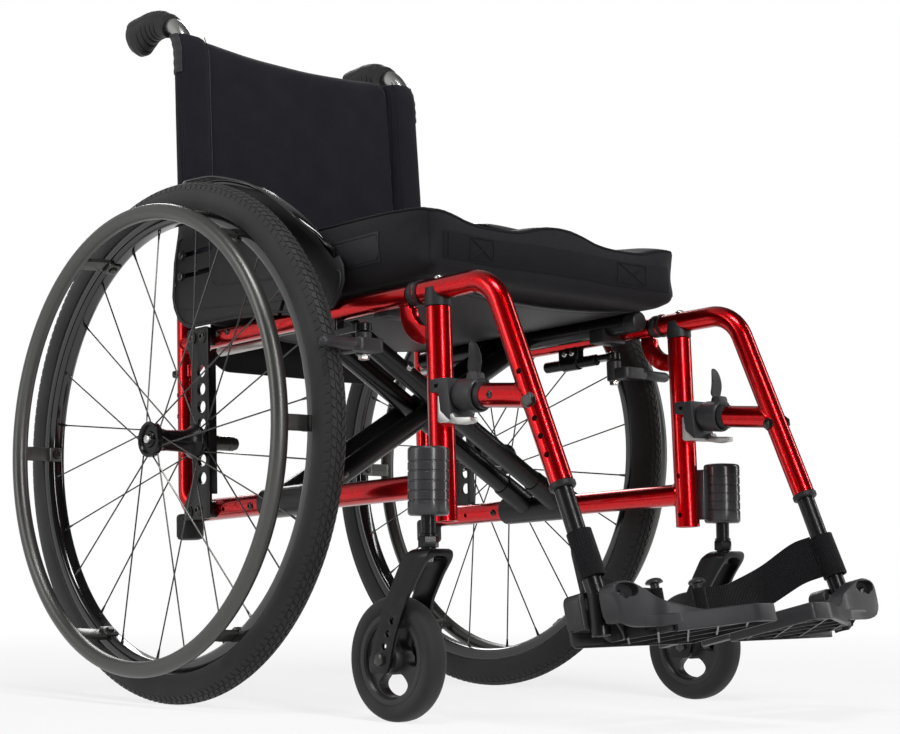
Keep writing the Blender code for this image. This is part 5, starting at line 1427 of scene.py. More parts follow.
class Footrests(ChairPart, bpy.types.Operator):
    """Footrests: extension tube with its collar, and ribbed flip-up plate with strap post"""

    bl_idname = "chair.footrests"
    bl_label = "Footrests"

    def execute(self, context):
        end = Vector((X, HANGER_END_Y, HANGER_END_Z))
        below = on_plate(0, -0.0040, 0.0060)
        top = SLOPE @ (end - DOWN * 0.022)
        down = (below - top).normalized()
        tube = joined(
            rod(top, below, 0.0093, 32, 0.001),
            rod(on_plate(0, -0.0038, 0.0080), on_plate(0, -0.0080, -0.0310), 0.0096, 32, 0.001),
            rod(on_plate(0, -0.0230, 0), on_plate(0, 0.0225, 0), 0.0040, 20, 0.0006),
        )
        both(tube, "extension", "hanger", "black_powder_coat", "black_paint", ["extension_tube"], level=False)
        collar = lathe(
            [(0.0003, 0.0095), (0.0003, 0.0122), (0.0012, 0.0130), (0.0050, 0.0130), (0.0062, 0.0120),
             (0.0066, 0.0095)],
            SLOPE @ end, down, 36,
        )
        both(collar, "extension_collar", "hanger", "black_nylon", "black_plastic", level=False)

        top_n, low_n = -0.0195, -0.0365
        front, rear, reach = PLATE_FRONT, PLATE_FRONT - PLATE_DEPTH, PLATE_REACH
        outline = softened([
            (-0.0118, rear + 0.0006), (reach, rear), (reach, front), (reach - 0.030, front), (0.0850, 0.0500),
            (0.0600, 0.0385),
            (0.0400, 0.0305), (-0.0118, 0.0296),
        ], 0.006)
        slab = plate(flipped(outline), "Z", low_n, top_n, 0.0014, 3)
        wall = 0.0034
        hollow = [(-0.0200, rear + wall), (reach - wall, rear + wall), (reach - wall, front - wall),
                  (reach - 0.031, front - wall), (0.0850, 0.0495 - wall), (0.0600, 0.0380 - wall),
                  (0.0400, 0.0300 - wall),
                  (-0.0200, 0.0290 - wall)]
        pocket = plate(flipped(hollow), "Z", -0.05, top_n - 0.0032)
        grid = []
        for k in range(5):
            for lean in (0.86, -0.70):
                middle = Vector((-0.043 * k - 0.006, -0.018, (top_n + low_n) / 2 - 0.001))
                strip = box((-0.0009, -0.095, -0.0075), (0.0009, 0.095, 0.0075))
                grid.append(turn(strip, Matrix.Translation(middle) @ Matrix.Rotation(lean, 4, "Z")))
        ribs = joined(*grid)
        room = plate(flipped(hollow), "Z", low_n + 0.0012, top_n - 0.0030)
        combined(ribs, room, "INTERSECT", use_self=True)
        cut(slab, pocket)
        cut(
            slab, box((-0.0560, -0.0600, -0.05), (0.0200, -0.0150, -0.0302)),
            box((-0.0200, -0.0500, -0.05), (0.0200, 0.0300, -0.0236)),
        )
        cut(ribs, box((-0.0230, -0.0500, -0.05), (0.0200, 0.0500, 0.0)))
        # front lug: its ramp runs into the plate's front edge
        rings = []
        for u, high, low in (
            (-0.0144, 0.0025, -0.0120), (-0.0138, 0.0062, -0.0178), (-0.0118, 0.0092, -0.0222),
            (-0.0080, 0.0111, -0.0262),
            (-0.0040, 0.0122, -0.0281), (0.0010, 0.0128, -0.0293), (0.0041, 0.0130, -0.0298),
            (0.0090, 0.0122, -0.0302),
            (0.0142, 0.0108, -0.0302), (0.0220, 0.0078, -0.0302), (0.0300, 0.0040, -0.0302),
            (0.0375, 0.0, -0.0302),
            (0.0450, -0.0040, -0.0302), (0.0525, -0.0076, -0.0302), (0.0600, -0.0110, -0.0302),
            (0.0675, -0.0139, -0.0302),
            (0.0750, -0.0165, -0.0302), (0.0820, -0.0186, -0.0280), (0.0900, -0.0200, -0.0240),
        ):
            ahead = max(u - 0.0400, 0.0)
            lip = 0.0300 + 0.43 * ahead * min(ahead / 0.018, 1.0)
            section = softened([(0.0107, low), (lip, low), (lip, high), (0.0107, high)], 0.0018, 4)
            rings.append([(-u, -v, n) for v, n in section])
        boss = loft(rings)
        cut(boss, box((-0.0400, -0.0270, -0.05), (0.0300, -0.0050, -0.0236)))
        oval = []
        for k in range(40):
            c, q = math.cos(2 * math.pi * k / 40), math.sin(2 * math.pi * k / 40)
            oval.append((-0.0036 + 0.0150 * math.copysign(abs(c) ** 0.8, c),
                         0.0040 + 0.0066 * math.copysign(abs(q) ** 0.8, q)))
        cut(boss, plate(oval, "Y", -0.0400, -0.0220))
        cut(boss, rod((0, 0.030, 0), (0, -0.0405, 0), 0.0044, 20))
        back_lug = plate(
            softened([(-0.0150, -0.0222), (0.0140, -0.0222), (0.0140, 0.0060), (0.0100, 0.0112),
                      (-0.0080, 0.0122),
                      (-0.0150, 0.0060)], 0.006), "Y", 0.0142, -rear, 0.0022, 3,
        )
        end_wall = plate(
            softened([(-0.0300, -0.0350), (0.0126, -0.0350), (0.0126, -0.0150), (-0.0300, -0.0150)], 0.005),
            "Y",
            -rear - 0.0036, -rear, 0.0012,
        )
        cut(back_lug, rod((0, 0.040, 0), (0, 0.0, 0), 0.0044, 20))
        cut(slab, box((-0.0165, -0.0107, -0.05), (0.0155, 0.0142, top_n + 0.01)))
        # cup round the inboard side of the lugs
        rings = []
        for k in range(25):
            a = math.radians(-90 + 180 * k / 24)
            inside = max(math.cos(a), 0.0)
            low = -0.0140 - 0.0225 * min(1.0, inside * 1.25) ** 0.8
            brim = -0.0100 - 0.0095 * inside
            ring = []
            for grow, n in ((0.0, brim), (0.0, low), (0.0016, low), (0.0016, brim)):
                u = -0.0118 + (0.0285 + grow) * inside ** 0.6
                v = -0.0018 + (0.0132 + grow) * math.sin(a)
                ring.append((-u, -v, n))
            rings.append(ring)
        cup = loft(rings)
        cones = joined(
            lathe([(0.0040, 0.0045), (0.0040, 0.0062), (0.0112, 0.0082), (0.0112, 0.0045)], (0, 0, 0),
                  (0, -1, 0), 32),
            lathe([(-0.0150, 0.0045), (-0.0150, 0.0080), (-0.0120, 0.0066), (-0.0120, 0.0045)], (0, 0, 0),
                  (0, -1, 0), 32),
        )
        post = lathe(
            [(-0.0300, 0), (-0.0300, 0.0046), (0.0296, 0.0046), (0.0300, 0.0070), (0.0306, 0.0090),
             (0.0322, 0.0090),
             (0.0345, 0.0070), (0.0356, 0.0040), (0.0360, 0)],
            (-POST_U, -rear + 0.0290, 0), UP, 28,
        )
        tongue = plate(
            softened([(-POST_U - 0.0070, -rear - 0.0040), (-POST_U + 0.0070, -rear - 0.0040),
                      (-POST_U + 0.0050, -rear + 0.0360), (-POST_U - 0.0055, -rear + 0.0360)], 0.004),
            "Z", -0.0335, -0.0265, 0.0012,
        )
        ledge = plate(
            flipped(softened([(0.060, rear + 0.012), (reach - 0.012, rear + 0.012),
                              (reach - 0.012, front - 0.016),
                              (0.060, 0.034)], 0.006)),
            "Z", top_n - 0.0005, top_n + 0.0005, 0.0004,
        )
        whole = joined(slab, ribs, boss, back_lug, end_wall, cup, cones, post, tongue, ledge)
        both(turn(whole, PLATE), "foot_plate", "footplate", "moulded_nylon", "grey_plastic", ["footplate"],
             level=False)
        screw = hex_head((0, -0.0224, 0), (0, -1, 0), 0.0046, 0.0030, 0.0056)
        both(turn(screw, PLATE), "hinge_screw", "footplate", "dark_steel", "bright_steel", level=False)
        return {"FINISHED"}


def strap(path, ups, halves, thick, across=8):
    """A webbing strap along a path, with its length and width as its UV map."""
    path = [Vector(p) for p in path]
    runs = [0.0]
    for a, b in zip(path, path[1:]):
        runs.append(runs[-1] + (b - a).length)
    rings = []
    for i, p in enumerate(path):
        ahead = path[min(i + 1, len(path) - 1)] - path[max(i - 1, 0)]
        up = ups[i].normalized()
        side = ahead.cross(up).normalized() * thick / 2
        row = [p + up * halves[i] * (2 * k / across - 1) for k in range(across + 1)]
        rings.append([q - side for q in row] + [q + side for q in reversed(row)])
    obj = loft(rings)
    width = max(halves) * 2
    n = len(rings[0])
    spots = {}
    for i, ring in enumerate(rings):
        for k, q in enumerate(ring):
            v = (k if k <= across else n - 1 - k) / across
            spots[tuple(round(c, 5) for c in q)] = (runs[i], v * width)
    layer = obj.data.uv_layers.new(name="UVMap")
    for loop in obj.data.loops:
        q = tuple(round(c, 5) for c in obj.data.vertices[loop.vertex_index].co)
        layer.data[loop.index].uv = spots.get(q, (0, 0))
    return obj


def eased(points, steps=6):
    """A smooth path through points (Catmull-Rom)."""
    points = [Vector(p) for p in points]
    ends = [points[0] * 2 - points[1]] + points + [points[-1] * 2 - points[-2]]
    found = []
    for a, b, c, d in zip(ends, ends[1:], ends[2:], ends[3:]):
        for k in range(steps):
            t = k / steps
            found.append(
                0.5 * ((2 * b) + (c - a) * t + (2 * a - 5 * b + 4 * c - d) * t * t
                       + (3 * b - a - 3 * c + d) * t ** 3)
            )
    found.append(points[-1])
    return found


class HeelLoops(ChairPart, bpy.types.Operator):
    """Heel loops: webbing wrapped round the extension tube, led behind the heel and over the strap post"""

    bl_idname = "chair.heel_loops"
    bl_label = "Heel loops"

    def execute(self, context):
        lean = (SLOPE.to_3x3() @ Vector((0, math.sin(HANGER_LEAN), math.cos(HANGER_LEAN)))).normalized()
        base = SLOPE @ Vector((X, on_hanger(0.1195), 0.1195))
        middle = base + lean * 0.021
        across = lean.cross(Vector(OUT)).normalized()
        post = on_plate(POST_U, PLATE_FRONT - PLATE_DEPTH - 0.0290, 0.0110)
        round_tube = []
        for k in range(29):
            a = math.radians(-60 + 330 * k / 28)
            r = 0.0108 + 0.0016 * k / 28
            round_tube.append(middle + Vector(OUT) * r * math.cos(a) - across * r * math.sin(a))
        route = eased([
            (X - 0.0080, base.y + 0.0170, base.z + 0.0190),
            (X - 0.0190, base.y + 0.0360, base.z + 0.0105),
            (X - 0.0450, base.y + 0.0560, base.z - 0.0110),
            (0.1060, post.y + 0.0005, base.z - 0.0225),
            (0.0720, post.y - 0.0010, post.z - 0.0010),
            (post.x + 0.0075, post.y + 0.0010, post.z),
        ], 7)
        halves = []
        ups = []
        for k in range(len(route)):
            t = k / (len(route) - 1)
            halves.append(0.0226 - 0.0080 * t ** 2.2)
            ups.append(lean.lerp(Vector((0, 0.15, 1)), min(t * 1.3, 1)))
        for side, sign in (("left", 1), ("right", -1)):
            sleeve = strap(round_tube, [lean] * len(round_tube), [0.0226] * len(round_tube), 0.0018)
            band = strap(route, ups, halves, 0.0020)
            # the eye round the strap post
            eye = []
            axis = (PLATE.to_3x3() @ Vector(UP)).normalized()
            a_dir = axis.cross(Vector(REAR)).normalized()
            b_dir = axis.cross(a_dir).normalized()
            r = 0.0062
            for k in range(25):
                a = 2 * math.pi * k / 24
                eye.append(post + a_dir * r * math.cos(a) + b_dir * r * math.sin(a))
            loop = strap(eye, [axis] * 25, [0.0138] * 25, 0.0018)
            ends = ((-9, 0.0018), (-6, 0.0018), (-3, 0.0016))
            fold = strap(
                [route[i] + Vector((0, lift, 0)) for i, lift in ends], [ups[i] for i, lift in ends],
                [halves[i] * 0.98 for i, lift in ends], 0.0018,
            )
            whole = joined(sleeve, band, loop, fold)
            if sign < 0:
                twin = mirrored(whole)
                bpy.data.objects.remove(whole, do_unlink=True)
                whole = twin
            place(whole, "heel_strap_" + side, None, "strap_webbing", "webbing", ["heel_loop_" + side], False,
                  50)
            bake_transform(whole)
        return {"FINISHED"}


class Brace(ChairPart, bpy.types.Operator):
    """Scissor brace: two pairs of tubes with sleeves and hinge barrels, pivot bolt, seat rails and stays"""

    bl_idname = "chair.brace"
    bl_label = "Scissor brace"

    def execute(self, context):
        along = Vector((FRAME_X + RAIL_X, 0, RAIL_Z - BOTTOM_Z)).normalized()
        for name, body, sign, front, reach in (
            ("a", "arm_a", 1, BRACE_A_Y, (-0.2010, -0.0950)),
            ("b", "arm_b", -1, BRACE_B_Y, (-0.2050, -0.0920)),
        ):
            rear = front + BRACE_SPREAD
            foot, head = -sign * FRAME_X, sign * RAIL_X
            barrel = lathe(
                [(reach[0], 0.0129), (reach[0], 0.0162), (reach[0] + 0.0010, 0.0170),
                 (reach[1] - 0.0010, 0.0170),
                 (reach[1], 0.0162), (reach[1], 0.0129)],
                (foot, 0, BOTTOM_Z), REAR, 44,
            )
            lean = Vector((sign * along.x, 0, along.z))
            parts = []
            for y in (front, rear):
                a = Vector((foot, y, BOTTOM_Z))
                b = Vector((head, y, RAIL_Z))
                parts.append(rod(a + lean * 0.0150, b, BRACE_TUBE, 32))
                parts.append(lathe(
                    [(0.0135, 0), (0.0135, 0.0140), (0.0560, 0.0134), (0.0580, 0.0128), (0.0585, 0)], a, lean,
                    36
                ))
            tie = Vector((foot, 0, BOTTOM_Z)).lerp(Vector((head, 0, RAIL_Z)), 0.86)
            parts.append(rod((tie.x, front, tie.z), (tie.x, rear, tie.z), 0.0080, 24))
            arm = joined(barrel, *parts)
            saddle = rod((head, front - 0.05, RAIL_Z), (head, rear + 0.05, RAIL_Z), 0.0114, 36)
            combined(arm, saddle, "DIFFERENCE", use_self=True)
            place(arm, "brace_" + name, body, "black_powder_coat", "black_paint", ["cross_arm_" + name])
            mid = Vector((foot, 0, BOTTOM_Z)).lerp(Vector((head, 0, RAIL_Z)), 0.72)
            face = Vector((0, -0.86, 0.51))
            bolts = joined(
                hex_head(Vector((mid.x, front, mid.z)) + face * 0.0112, face, 0.0056, 0.0036, 0.0068),
                hex_head((mid.x, rear + 0.0114, mid.z), REAR, 0.0056, 0.0036, 0.0068),
            )
            place(bolts, "brace_bolts_" + name, body, "bright_zinc", "bright_steel")
        front, rear = BRACE_B_Y - BRACE_TUBE, BRACE_A_Y + BRACE_SPREAD + BRACE_TUBE
        pin = joined(
            rod((0, front - 0.0006, PIVOT_Z), (0, rear + 0.0006, PIVOT_Z), 0.0038, 20),
            hex_head((0, front - 0.0008, PIVOT_Z), (0, -1, 0), 0.0078, 0.0050, 0.0090),
            hex_head((0, rear + 0.0008, PIVOT_Z), REAR, 0.0078, 0.0050, 0.0090),
        )
        place(pin, "scissor_bolt", "arm_a", "bright_zinc", "bright_steel", ["pivot_bolt"])
        for side, sign, body in (("left", 1, "arm_a"), ("right", -1, "arm_b")):
            stay = lathe(
                [(-0.0720, 0), (-0.0720, 0.0060), (-0.0712, 0.0065), (0.0250, 0.0065), (0.0258, 0.0060),
                 (0.0258, 0)],
                (sign * RAIL_X, 0, RAIL_Z - 0.0135), REAR, 28,
            )
            place(stay, "rail_stay_" + side, body, "cast_alloy", "bright_steel")
            rail = lathe(
                [(-0.3300, 0), (-0.3300, 0.0100), (-0.3290, 0.0110), (0.0240, 0.0110), (0.0254, 0.0100),
                 (0.0260, 0.0080),
                 (0.0260, 0)], (sign * RAIL_X, 0, RAIL_Z), REAR, 36,
            )
            cap = lathe(
                [(-0.3474, 0), (-0.3474, 0.0096), (-0.3462, 0.0112), (-0.3440, 0.0116), (-0.3310, 0.0116),
                 (-0.3300, 0.0108),
                 (-0.3290, 0)], (sign * RAIL_X, 0, RAIL_Z), REAR, 36,
            )
            place(rail, "rail_" + side, body, "black_powder_coat", "black_paint", ["seat_rail_" + side])
            place(cap, "rail_cap_" + side, body, "black_nylon", "black_plastic")
        return {"FINISHED"}


class Seat(ChairPart, bpy.types.Operator):
    """Seat sling: coated cloth wrapped over both rails, slack between them, with hems front and rear"""

    bl_idname = "chair.seat"
    bl_label = "Seat sling"

    def execute(self, context):
        half = []
        r = 0.0114
        for a in (-70, -50, -30, -8, 15, 38, 60, 80, 95):
            c = math.radians(a)
            half.append((RAIL_X + r * math.cos(c), RAIL_Z + r * math.sin(c)))
        for k in range(1, 13):
            t = k / 12
            x = RAIL_X * (1 - t) - 0.001
            half.append((max(x, 0.0), RAIL_Z + r - 0.0102 * math.sin(t * math.pi / 2)))
        line = half + [(-x, z) for x, z in reversed(half[:-1])]
        rows = []
        low, high = -0.3440, 0.0140
        count = 30
        for i in range(count + 1):
            y = low + (high - low) * i / count
            t = i / count
            dip = 0.0042 * math.sin(math.pi * t)
            rows.append([
                (x, y, z - dip * max(0.0, 1 - (x / RAIL_X) ** 2) if abs(x) < RAIL_X else z) for x, z in line
            ])
        n = len(line)
        points = [p for row in rows for p in row]
        faces = [
            (i * n + k, i * n + k + 1, (i + 1) * n + k + 1, (i + 1) * n + k)
            for i in range(count) for k in range(n - 1)
        ]
        sling = meshed("sling", points, [], faces)
        modify(sling, "SOLIDIFY", thickness=0.0014, offset=0.0)
        closed_up(edit(sling))
        hems = []
        for y in (low + 0.0100, high - 0.0100):
            path = [Vector((x, y, z - 0.0006)) for x, z in line[8:-8]]
            hems.append(pipe(path, 0.0007, 6))
        place(sling, "sling", None, "seat_cloth", "seat_fabric", ["seat_sling"], smooth=60)
        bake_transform(sling)
        hem = place(joined(*hems), "sling_hems", None, "thread", "seat_fabric", smooth=60)
        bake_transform(hem)
        return {"FINISHED"}


class Back(ChairPart, bpy.types.Operator):
    """Back upholstery: a sleeve over each cane, the panel between them, a hook strip and the rear flap"""

    bl_idname = "chair.back"
    bl_label = "Back upholstery"

    def execute(self, context):
        sleeve_low, panel_low = 0.500, 0.536
        levels = [sleeve_low + (BACK_TOP_Z - sleeve_low) * k / 34 for k in range(35)]
        edge = [(-0.0310, 0.0128), (-0.0150, 0.0138)] + arc((0, 0), 0.0143, 80, -80, 12)
        edge += [(-0.0150, -0.0148), (-0.0230, -0.0132), (-0.0290, -0.0092), (-0.0312, -0.0040),
                 (-0.0316, 0.0040)]
        rings = []
        for z in levels:
            c = cane_at(z)
            k = min(0.0143, 0.2032 - c.x) / 0.0143
            pinch = 1 - 0.10 * math.exp(-((z - BACK_TOP_Z) / 0.004) ** 2)
            swell = 1 + 0.012 * math.sin(z * 97) * math.sin(z * 41 + 1)
            near_top = eased_step(BACK_TOP_Z - 0.03, BACK_TOP_Z, z)
            rings.append([
                (c.x + u * k * (pinch if u > 0 else 1), c.y + v * k * pinch * swell,
                 z - 0.0042 * max(0.0, (-u - 0.012) / 0.0196) * near_top) for u, v in edge
            ])
        sleeve = loft(rings)
        rounded(sleeve, 0.0016, 3, 50)
        both(sleeve, "back_sleeve", "frame", "back_cloth", "seat_fabric", smooth=55)
        down = [Vector((cane_at(z).x - 0.0245, cane_at(z).y - 0.0125, z)) for z in levels]
        both(pipe(down, 0.0006, 6), "back_seams", "frame", "thread", "seat_fabric")
        strip_rings = []
        for k in range(15):
            z = 0.7535 + (BACK_TOP_Z - 0.7540) * k / 14
            c = cane_at(z)
            wave = 0.0004 * math.sin(k * 1.9)
            row = []
            for a in (-34, -15, 5, 25, 45):
                q = math.radians(a)
                row.append((c.x + (0.0155 + wave) * math.cos(q), c.y + (0.0155 + wave) * math.sin(q), z))
            inner = [(c.x + 0.0138 * math.cos(math.radians(a)), c.y + 0.0138 * math.sin(math.radians(a)), z)
                     for a in (45, 25, 5, -15, -34)]
            strip_rings.append(row + inner)
        both(loft(strip_rings), "hook_strip", "frame", "hook_tape", "webbing", smooth=50)

        levels = [panel_low + (BACK_TOP_Z - panel_low) * k / 34 for k in range(35)]
        count = 40
        front_rows, back_rows = [], []
        for i, z in enumerate(levels):
            c = cane_at(min(z, BACK_TOP_Z))
            half = c.x - 0.0319
            front_row, back_row = [], []
            for k in range(count + 1):
                t = 2 * k / count - 1
                hang = 1 - t * t
                sag = 0.0065 * hang * max(0.0, (i - 24) / 10) ** 1.5
                ripple = 0.0005 * math.sin(9 * t + z * 31) * math.sin(z * 57 + 2 * t)
                roll = 0.0045 * math.exp(-((levels[-1] - z) / 0.006) ** 2)
                tuck = 0.0040 * math.exp(-((1 - abs(t)) / 0.035) ** 2)
                front_row.append((half * t, c.y - 0.0045 + 0.0060 * hang + ripple + roll + tuck, z - sag))
                back_row.append((half * t, c.y + 0.0110 + 0.0060 * hang - ripple - roll, z - sag))
            front_rows.append(front_row)
            back_rows.append(list(reversed(back_row)))
        panel = loft([a + b for a, b in zip(front_rows, back_rows)])
        rounded(panel, 0.0020, 3, 60)
        place(panel, "back_panel", "right_frame", "back_cloth", "seat_fabric", ["back_upholstery"], smooth=55)
        flap = plate(
            softened([(-0.150, 0.480), (-0.150, 0.402), (-0.130, 0.390), (0.130, 0.390), (0.150, 0.402),
                      (0.150, 0.480)],
                     0.008),
            "Y", UPRIGHT_Y + 0.0040, UPRIGHT_Y + 0.0070, 0.0008,
        )
        place(flap, "rear_flap", "right_frame", "seat_cloth", "seat_fabric")
        for piece in (panel, flap):
            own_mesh(piece)
        return {"FINISHED"}


def puffed(obj, pins, pressure, cap, frames=20):
    """A cover blown out between its pinned seams by cloth simulation, no point further than cap."""
    start = [v.co.copy() for v in obj.data.vertices]
    group = obj.vertex_groups.new(name="seams")
    group.add(pins, 1.0, "REPLACE")
    cloth = obj.modifiers.new("cloth", "CLOTH")
    cloth.settings.vertex_group_mass = "seams"
    cloth.settings.quality = 4
    cloth.settings.use_pressure = True
    cloth.settings.uniform_pressure_force = pressure
    cloth.settings.effector_weights.gravity = 0.0
    cloth.collision_settings.use_collision = False
    cloth.point_cache.frame_start = 1
    cloth.point_cache.frame_end = frames
    scene = bpy.context.scene
    for frame in range(1, frames + 1):
        scene.frame_set(frame)
    pick(obj)
    bpy.ops.object.modifier_apply(modifier="cloth")
    scene.frame_set(1)
    for v, was in zip(obj.data.vertices, start):
        move = v.co - was
        if move.length > cap:
            v.co = was + move * (cap / move.length)
    obj.vertex_groups.clear()
    return obj


def cushion_top(x, y, trough):
    """Height of the cushion's top: leg troughs rolling off at the front, pommel between, well at the rear."""
    front = 1 - eased_step(CUSHION_FRONT + 0.006, CUSHION_FRONT + 0.095, y)
    leg = math.exp(-((abs(x) - 0.100) / 0.056) ** 4)
    pommel = math.exp(-(x / 0.024) ** 2)
    well = math.exp(-(x / 0.11) ** 2 - ((y + 0.075) / 0.085) ** 2)
    wing = 0.0085 * (1 - math.exp(-max(y - CUSHION_FRONT, 0.0) / 0.05)) * eased_step(0.10, 0.17, abs(x))
    return CUSHION_TOP - 0.0005 - trough * leg * front + 0.0030 * pommel * front - 0.012 * well + wing


def cushion_edge(count=168):
    """The cushion's outline in plan, rounded at the corners."""
    corners = [(-CUSHION_HALF, CUSHION_FRONT), (CUSHION_HALF, CUSHION_FRONT), (CUSHION_HALF, CUSHION_REAR),
               (-CUSHION_HALF, CUSHION_REAR)]
    path = [Vector(p) for p in softened(corners, 0.008, 8)]
    path.append(path[0])
    runs = [0.0]
    for a, b in zip(path, path[1:]):
        runs.append(runs[-1] + (b - a).length)
    found = []
    i = 0
    for k in range(count):
        want = runs[-1] * k / count
        while runs[i + 1] < want:
            i += 1
        t = (want - runs[i]) / max(runs[i + 1] - runs[i], 1e-9)
        found.append(path[i].lerp(path[i + 1], t))
    return found


class Cushion(ChairPart, bpy.types.Operator):
    """Contoured cushion: knitted cover blown out between piped seams, woven band, bare side patch"""

    bl_idname = "chair.cushion"
    bl_label = "Cushion"

    def execute(self, context):
        sizes = context.scene.chair_sizes
        trough = sizes.trough
        plan = cushion_edge()
        middle = Vector((0, (CUSHION_FRONT + CUSHION_REAR) / 2))
        seam_low = CUSHION_LOW + 0.0012

        def seam_top(p):
            return cushion_top(p.x, p.y, trough) - 0.0030

        # underside, walls pulled in at their seams, then the contoured top
        rings = []
        for k in range(12):
            t = 1 - (k + 0.2) / 12
            t = 0.93 * t + 0.07
            rings.append([
                (middle.x + (p.x - middle.x) * (1 - t), middle.y + (p.y - middle.y) * (1 - t), CUSHION_LOW)
                for p in plan
            ])
        for k in range(13):
            t = k / 12
            low = max(0.013 - 0.066 * t, 0.0)
            pull = 0.0012 * math.sin(math.pi * t) + 0.013 - math.sqrt(0.013 ** 2 - low ** 2)
            ring = []
            for p in plan:
                q = middle + (p - middle) * (1 - pull / 0.19)
                ring.append((q.x, q.y, seam_low + (seam_top(p) - seam_low) * t))
            rings.append(ring)
        for k in range(1, 17):
            t = (k / 16.3) ** 1.2
            ring = []
            for p in plan:
                q = middle + (p - middle) * (1 - t)
                lift = min(t * 9, 1.0) * 0.0030
                ring.append((q.x, q.y, cushion_top(q.x, q.y, trough) - 0.0030 + lift))
            rings.append(ring)
        pad = loft(rings)
        pad.data.remesh_voxel_size = 0.005
        pick(pad)
        bpy.ops.object.voxel_remesh()
        pad = bpy.context.object
        pins = []
        for v in pad.data.vertices:
            x, y, z = v.co
            flat = z < CUSHION_LOW + 0.0035
            near = min((Vector((x, y)) - p).length for p in plan[::3]) < 0.009 if not flat else False
            seam_high = cushion_top(x, y, trough) - 0.003
            if flat or near and (abs(z - seam_low) < 0.0035 or abs(z - seam_high) < 0.0035):
                pins.append(v.index)
        puffed(pad, pins, 5.0, 0.0065)
        modify(pad, "CORRECTIVE_SMOOTH", factor=0.5, iterations=3, use_only_smooth=True, rest_source="ORCO")
        modify(pad, "SUBSURF", levels=1, render_levels=1)
        skin = BVHTree.FromPolygons([v.co for v in pad.data.vertices],
                                    [p.vertices for p in pad.data.polygons])

        def on_skin(p, proud=0.0):
            """The nearest place on the cover, raised by some."""
            found, normal = skin.find_nearest(Vector(p))[:2]
            return found + normal * proud

        def laid(places, proud):
            """The section of a flat strip along these places on the cover."""
            return [on_skin(p, proud) for p in places] + [on_skin(p, -0.0006) for p in reversed(places)]

        upper = [on_skin((p.x, p.y, seam_top(p)), 0.0002) for p in plan]
        cords = [pipe(upper, sizes.piping, 10, True)]
        lines = []
        for sx in (-1, 1):
            for y in (CUSHION_FRONT + 0.003, CUSHION_REAR - 0.003):
                x = sx * (CUSHION_HALF - 0.002)
                line = [on_skin((x, y, seam_low + 0.012 + 0.054 * k / 12), 0.0001) for k in range(13)]
                cords.append(pipe(line, 0.0007, 8))
        for z in (0.4795, 0.4520):
            line = []
            for k in range(81):
                x = -0.178 + 0.356 * k / 80
                dip = 0.25 * max(0, 0.5 - cushion_top(x, CUSHION_FRONT, trough))
                line.append(on_skin((x, CUSHION_FRONT, z - dip), 0.0003))
            lines.append(line)
        hems = [pipe(line, 0.0006, 6) for line in lines]
        upper_line, lower_line = lines
        band = loft([
            laid([low.lerp(high, j / 6) for j in range(7)], 0.0011) for high,
            low in zip(upper_line, lower_line)
        ])
        crosses = []

        def stitch(a, b):
            """A line of thread on the cushion's front."""
            count = max(int((Vector(b) - Vector(a)).length / 0.004), 2)
            return pipe([
                on_skin(Vector((a[0], CUSHION_FRONT, a[1])).lerp(Vector((b[0], CUSHION_FRONT, b[1])),
                                                                 k / count), 0.0013)
                for k in range(count + 1)
            ], 0.00055, 6)

        for x0, x1 in ((-0.142, -0.108), (0.088, 0.136)):
            corners = [(x0, 0.4550), (x1, 0.4550), (x1, 0.4765), (x0, 0.4765)]
            for a, b in zip(corners, corners[1:] + corners[:1]):
                crosses.append(stitch(a, b))
            crosses += [stitch(corners[0], corners[2]), stitch(corners[1], corners[3])]
        crosses.append(stitch((-0.172, 0.4530), (-0.172, 0.4785)))

        patch = loft([
            laid([(-CUSHION_HALF, -0.3050 + 0.0860 * k / 16, 0.4580 + 0.0310 * j / 6) for j in range(7)],
                 0.0012)
            for k in range(17)
        ])
        frame_path = [on_skin((-CUSHION_HALF, y, z), 0.0012) for y, z in softened(
            [(-0.3022, 0.4608), (-0.2218, 0.4608), (-0.2218, 0.4862), (-0.3022, 0.4862)], 0.003)]
        patch_edge = pipe(frame_path, 0.0005, 6, True)

        place(pad, "cushion_cover", "cushion", "cover_knit", "cushion_cover", ["cushion"], smooth=80)
        piping = place(joined(*cords), "cushion_piping", "cushion", "thread", "cushion_cover", smooth=60)
        stitches = joined(*hems, *crosses, patch_edge)
        place(stitches, "cushion_stitches", "cushion", "thread", "cushion_cover")
        strip = place(band, "cushion_band", "cushion", "cover_mesh", "cushion_cover", smooth=60)
        label = place(patch, "cushion_patch", "cushion", "vinyl_patch", "cushion_cover", smooth=60)
        for piece in (pad, piping, stitches, strip, label):
            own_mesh(piece)
        return {"FINISHED"}


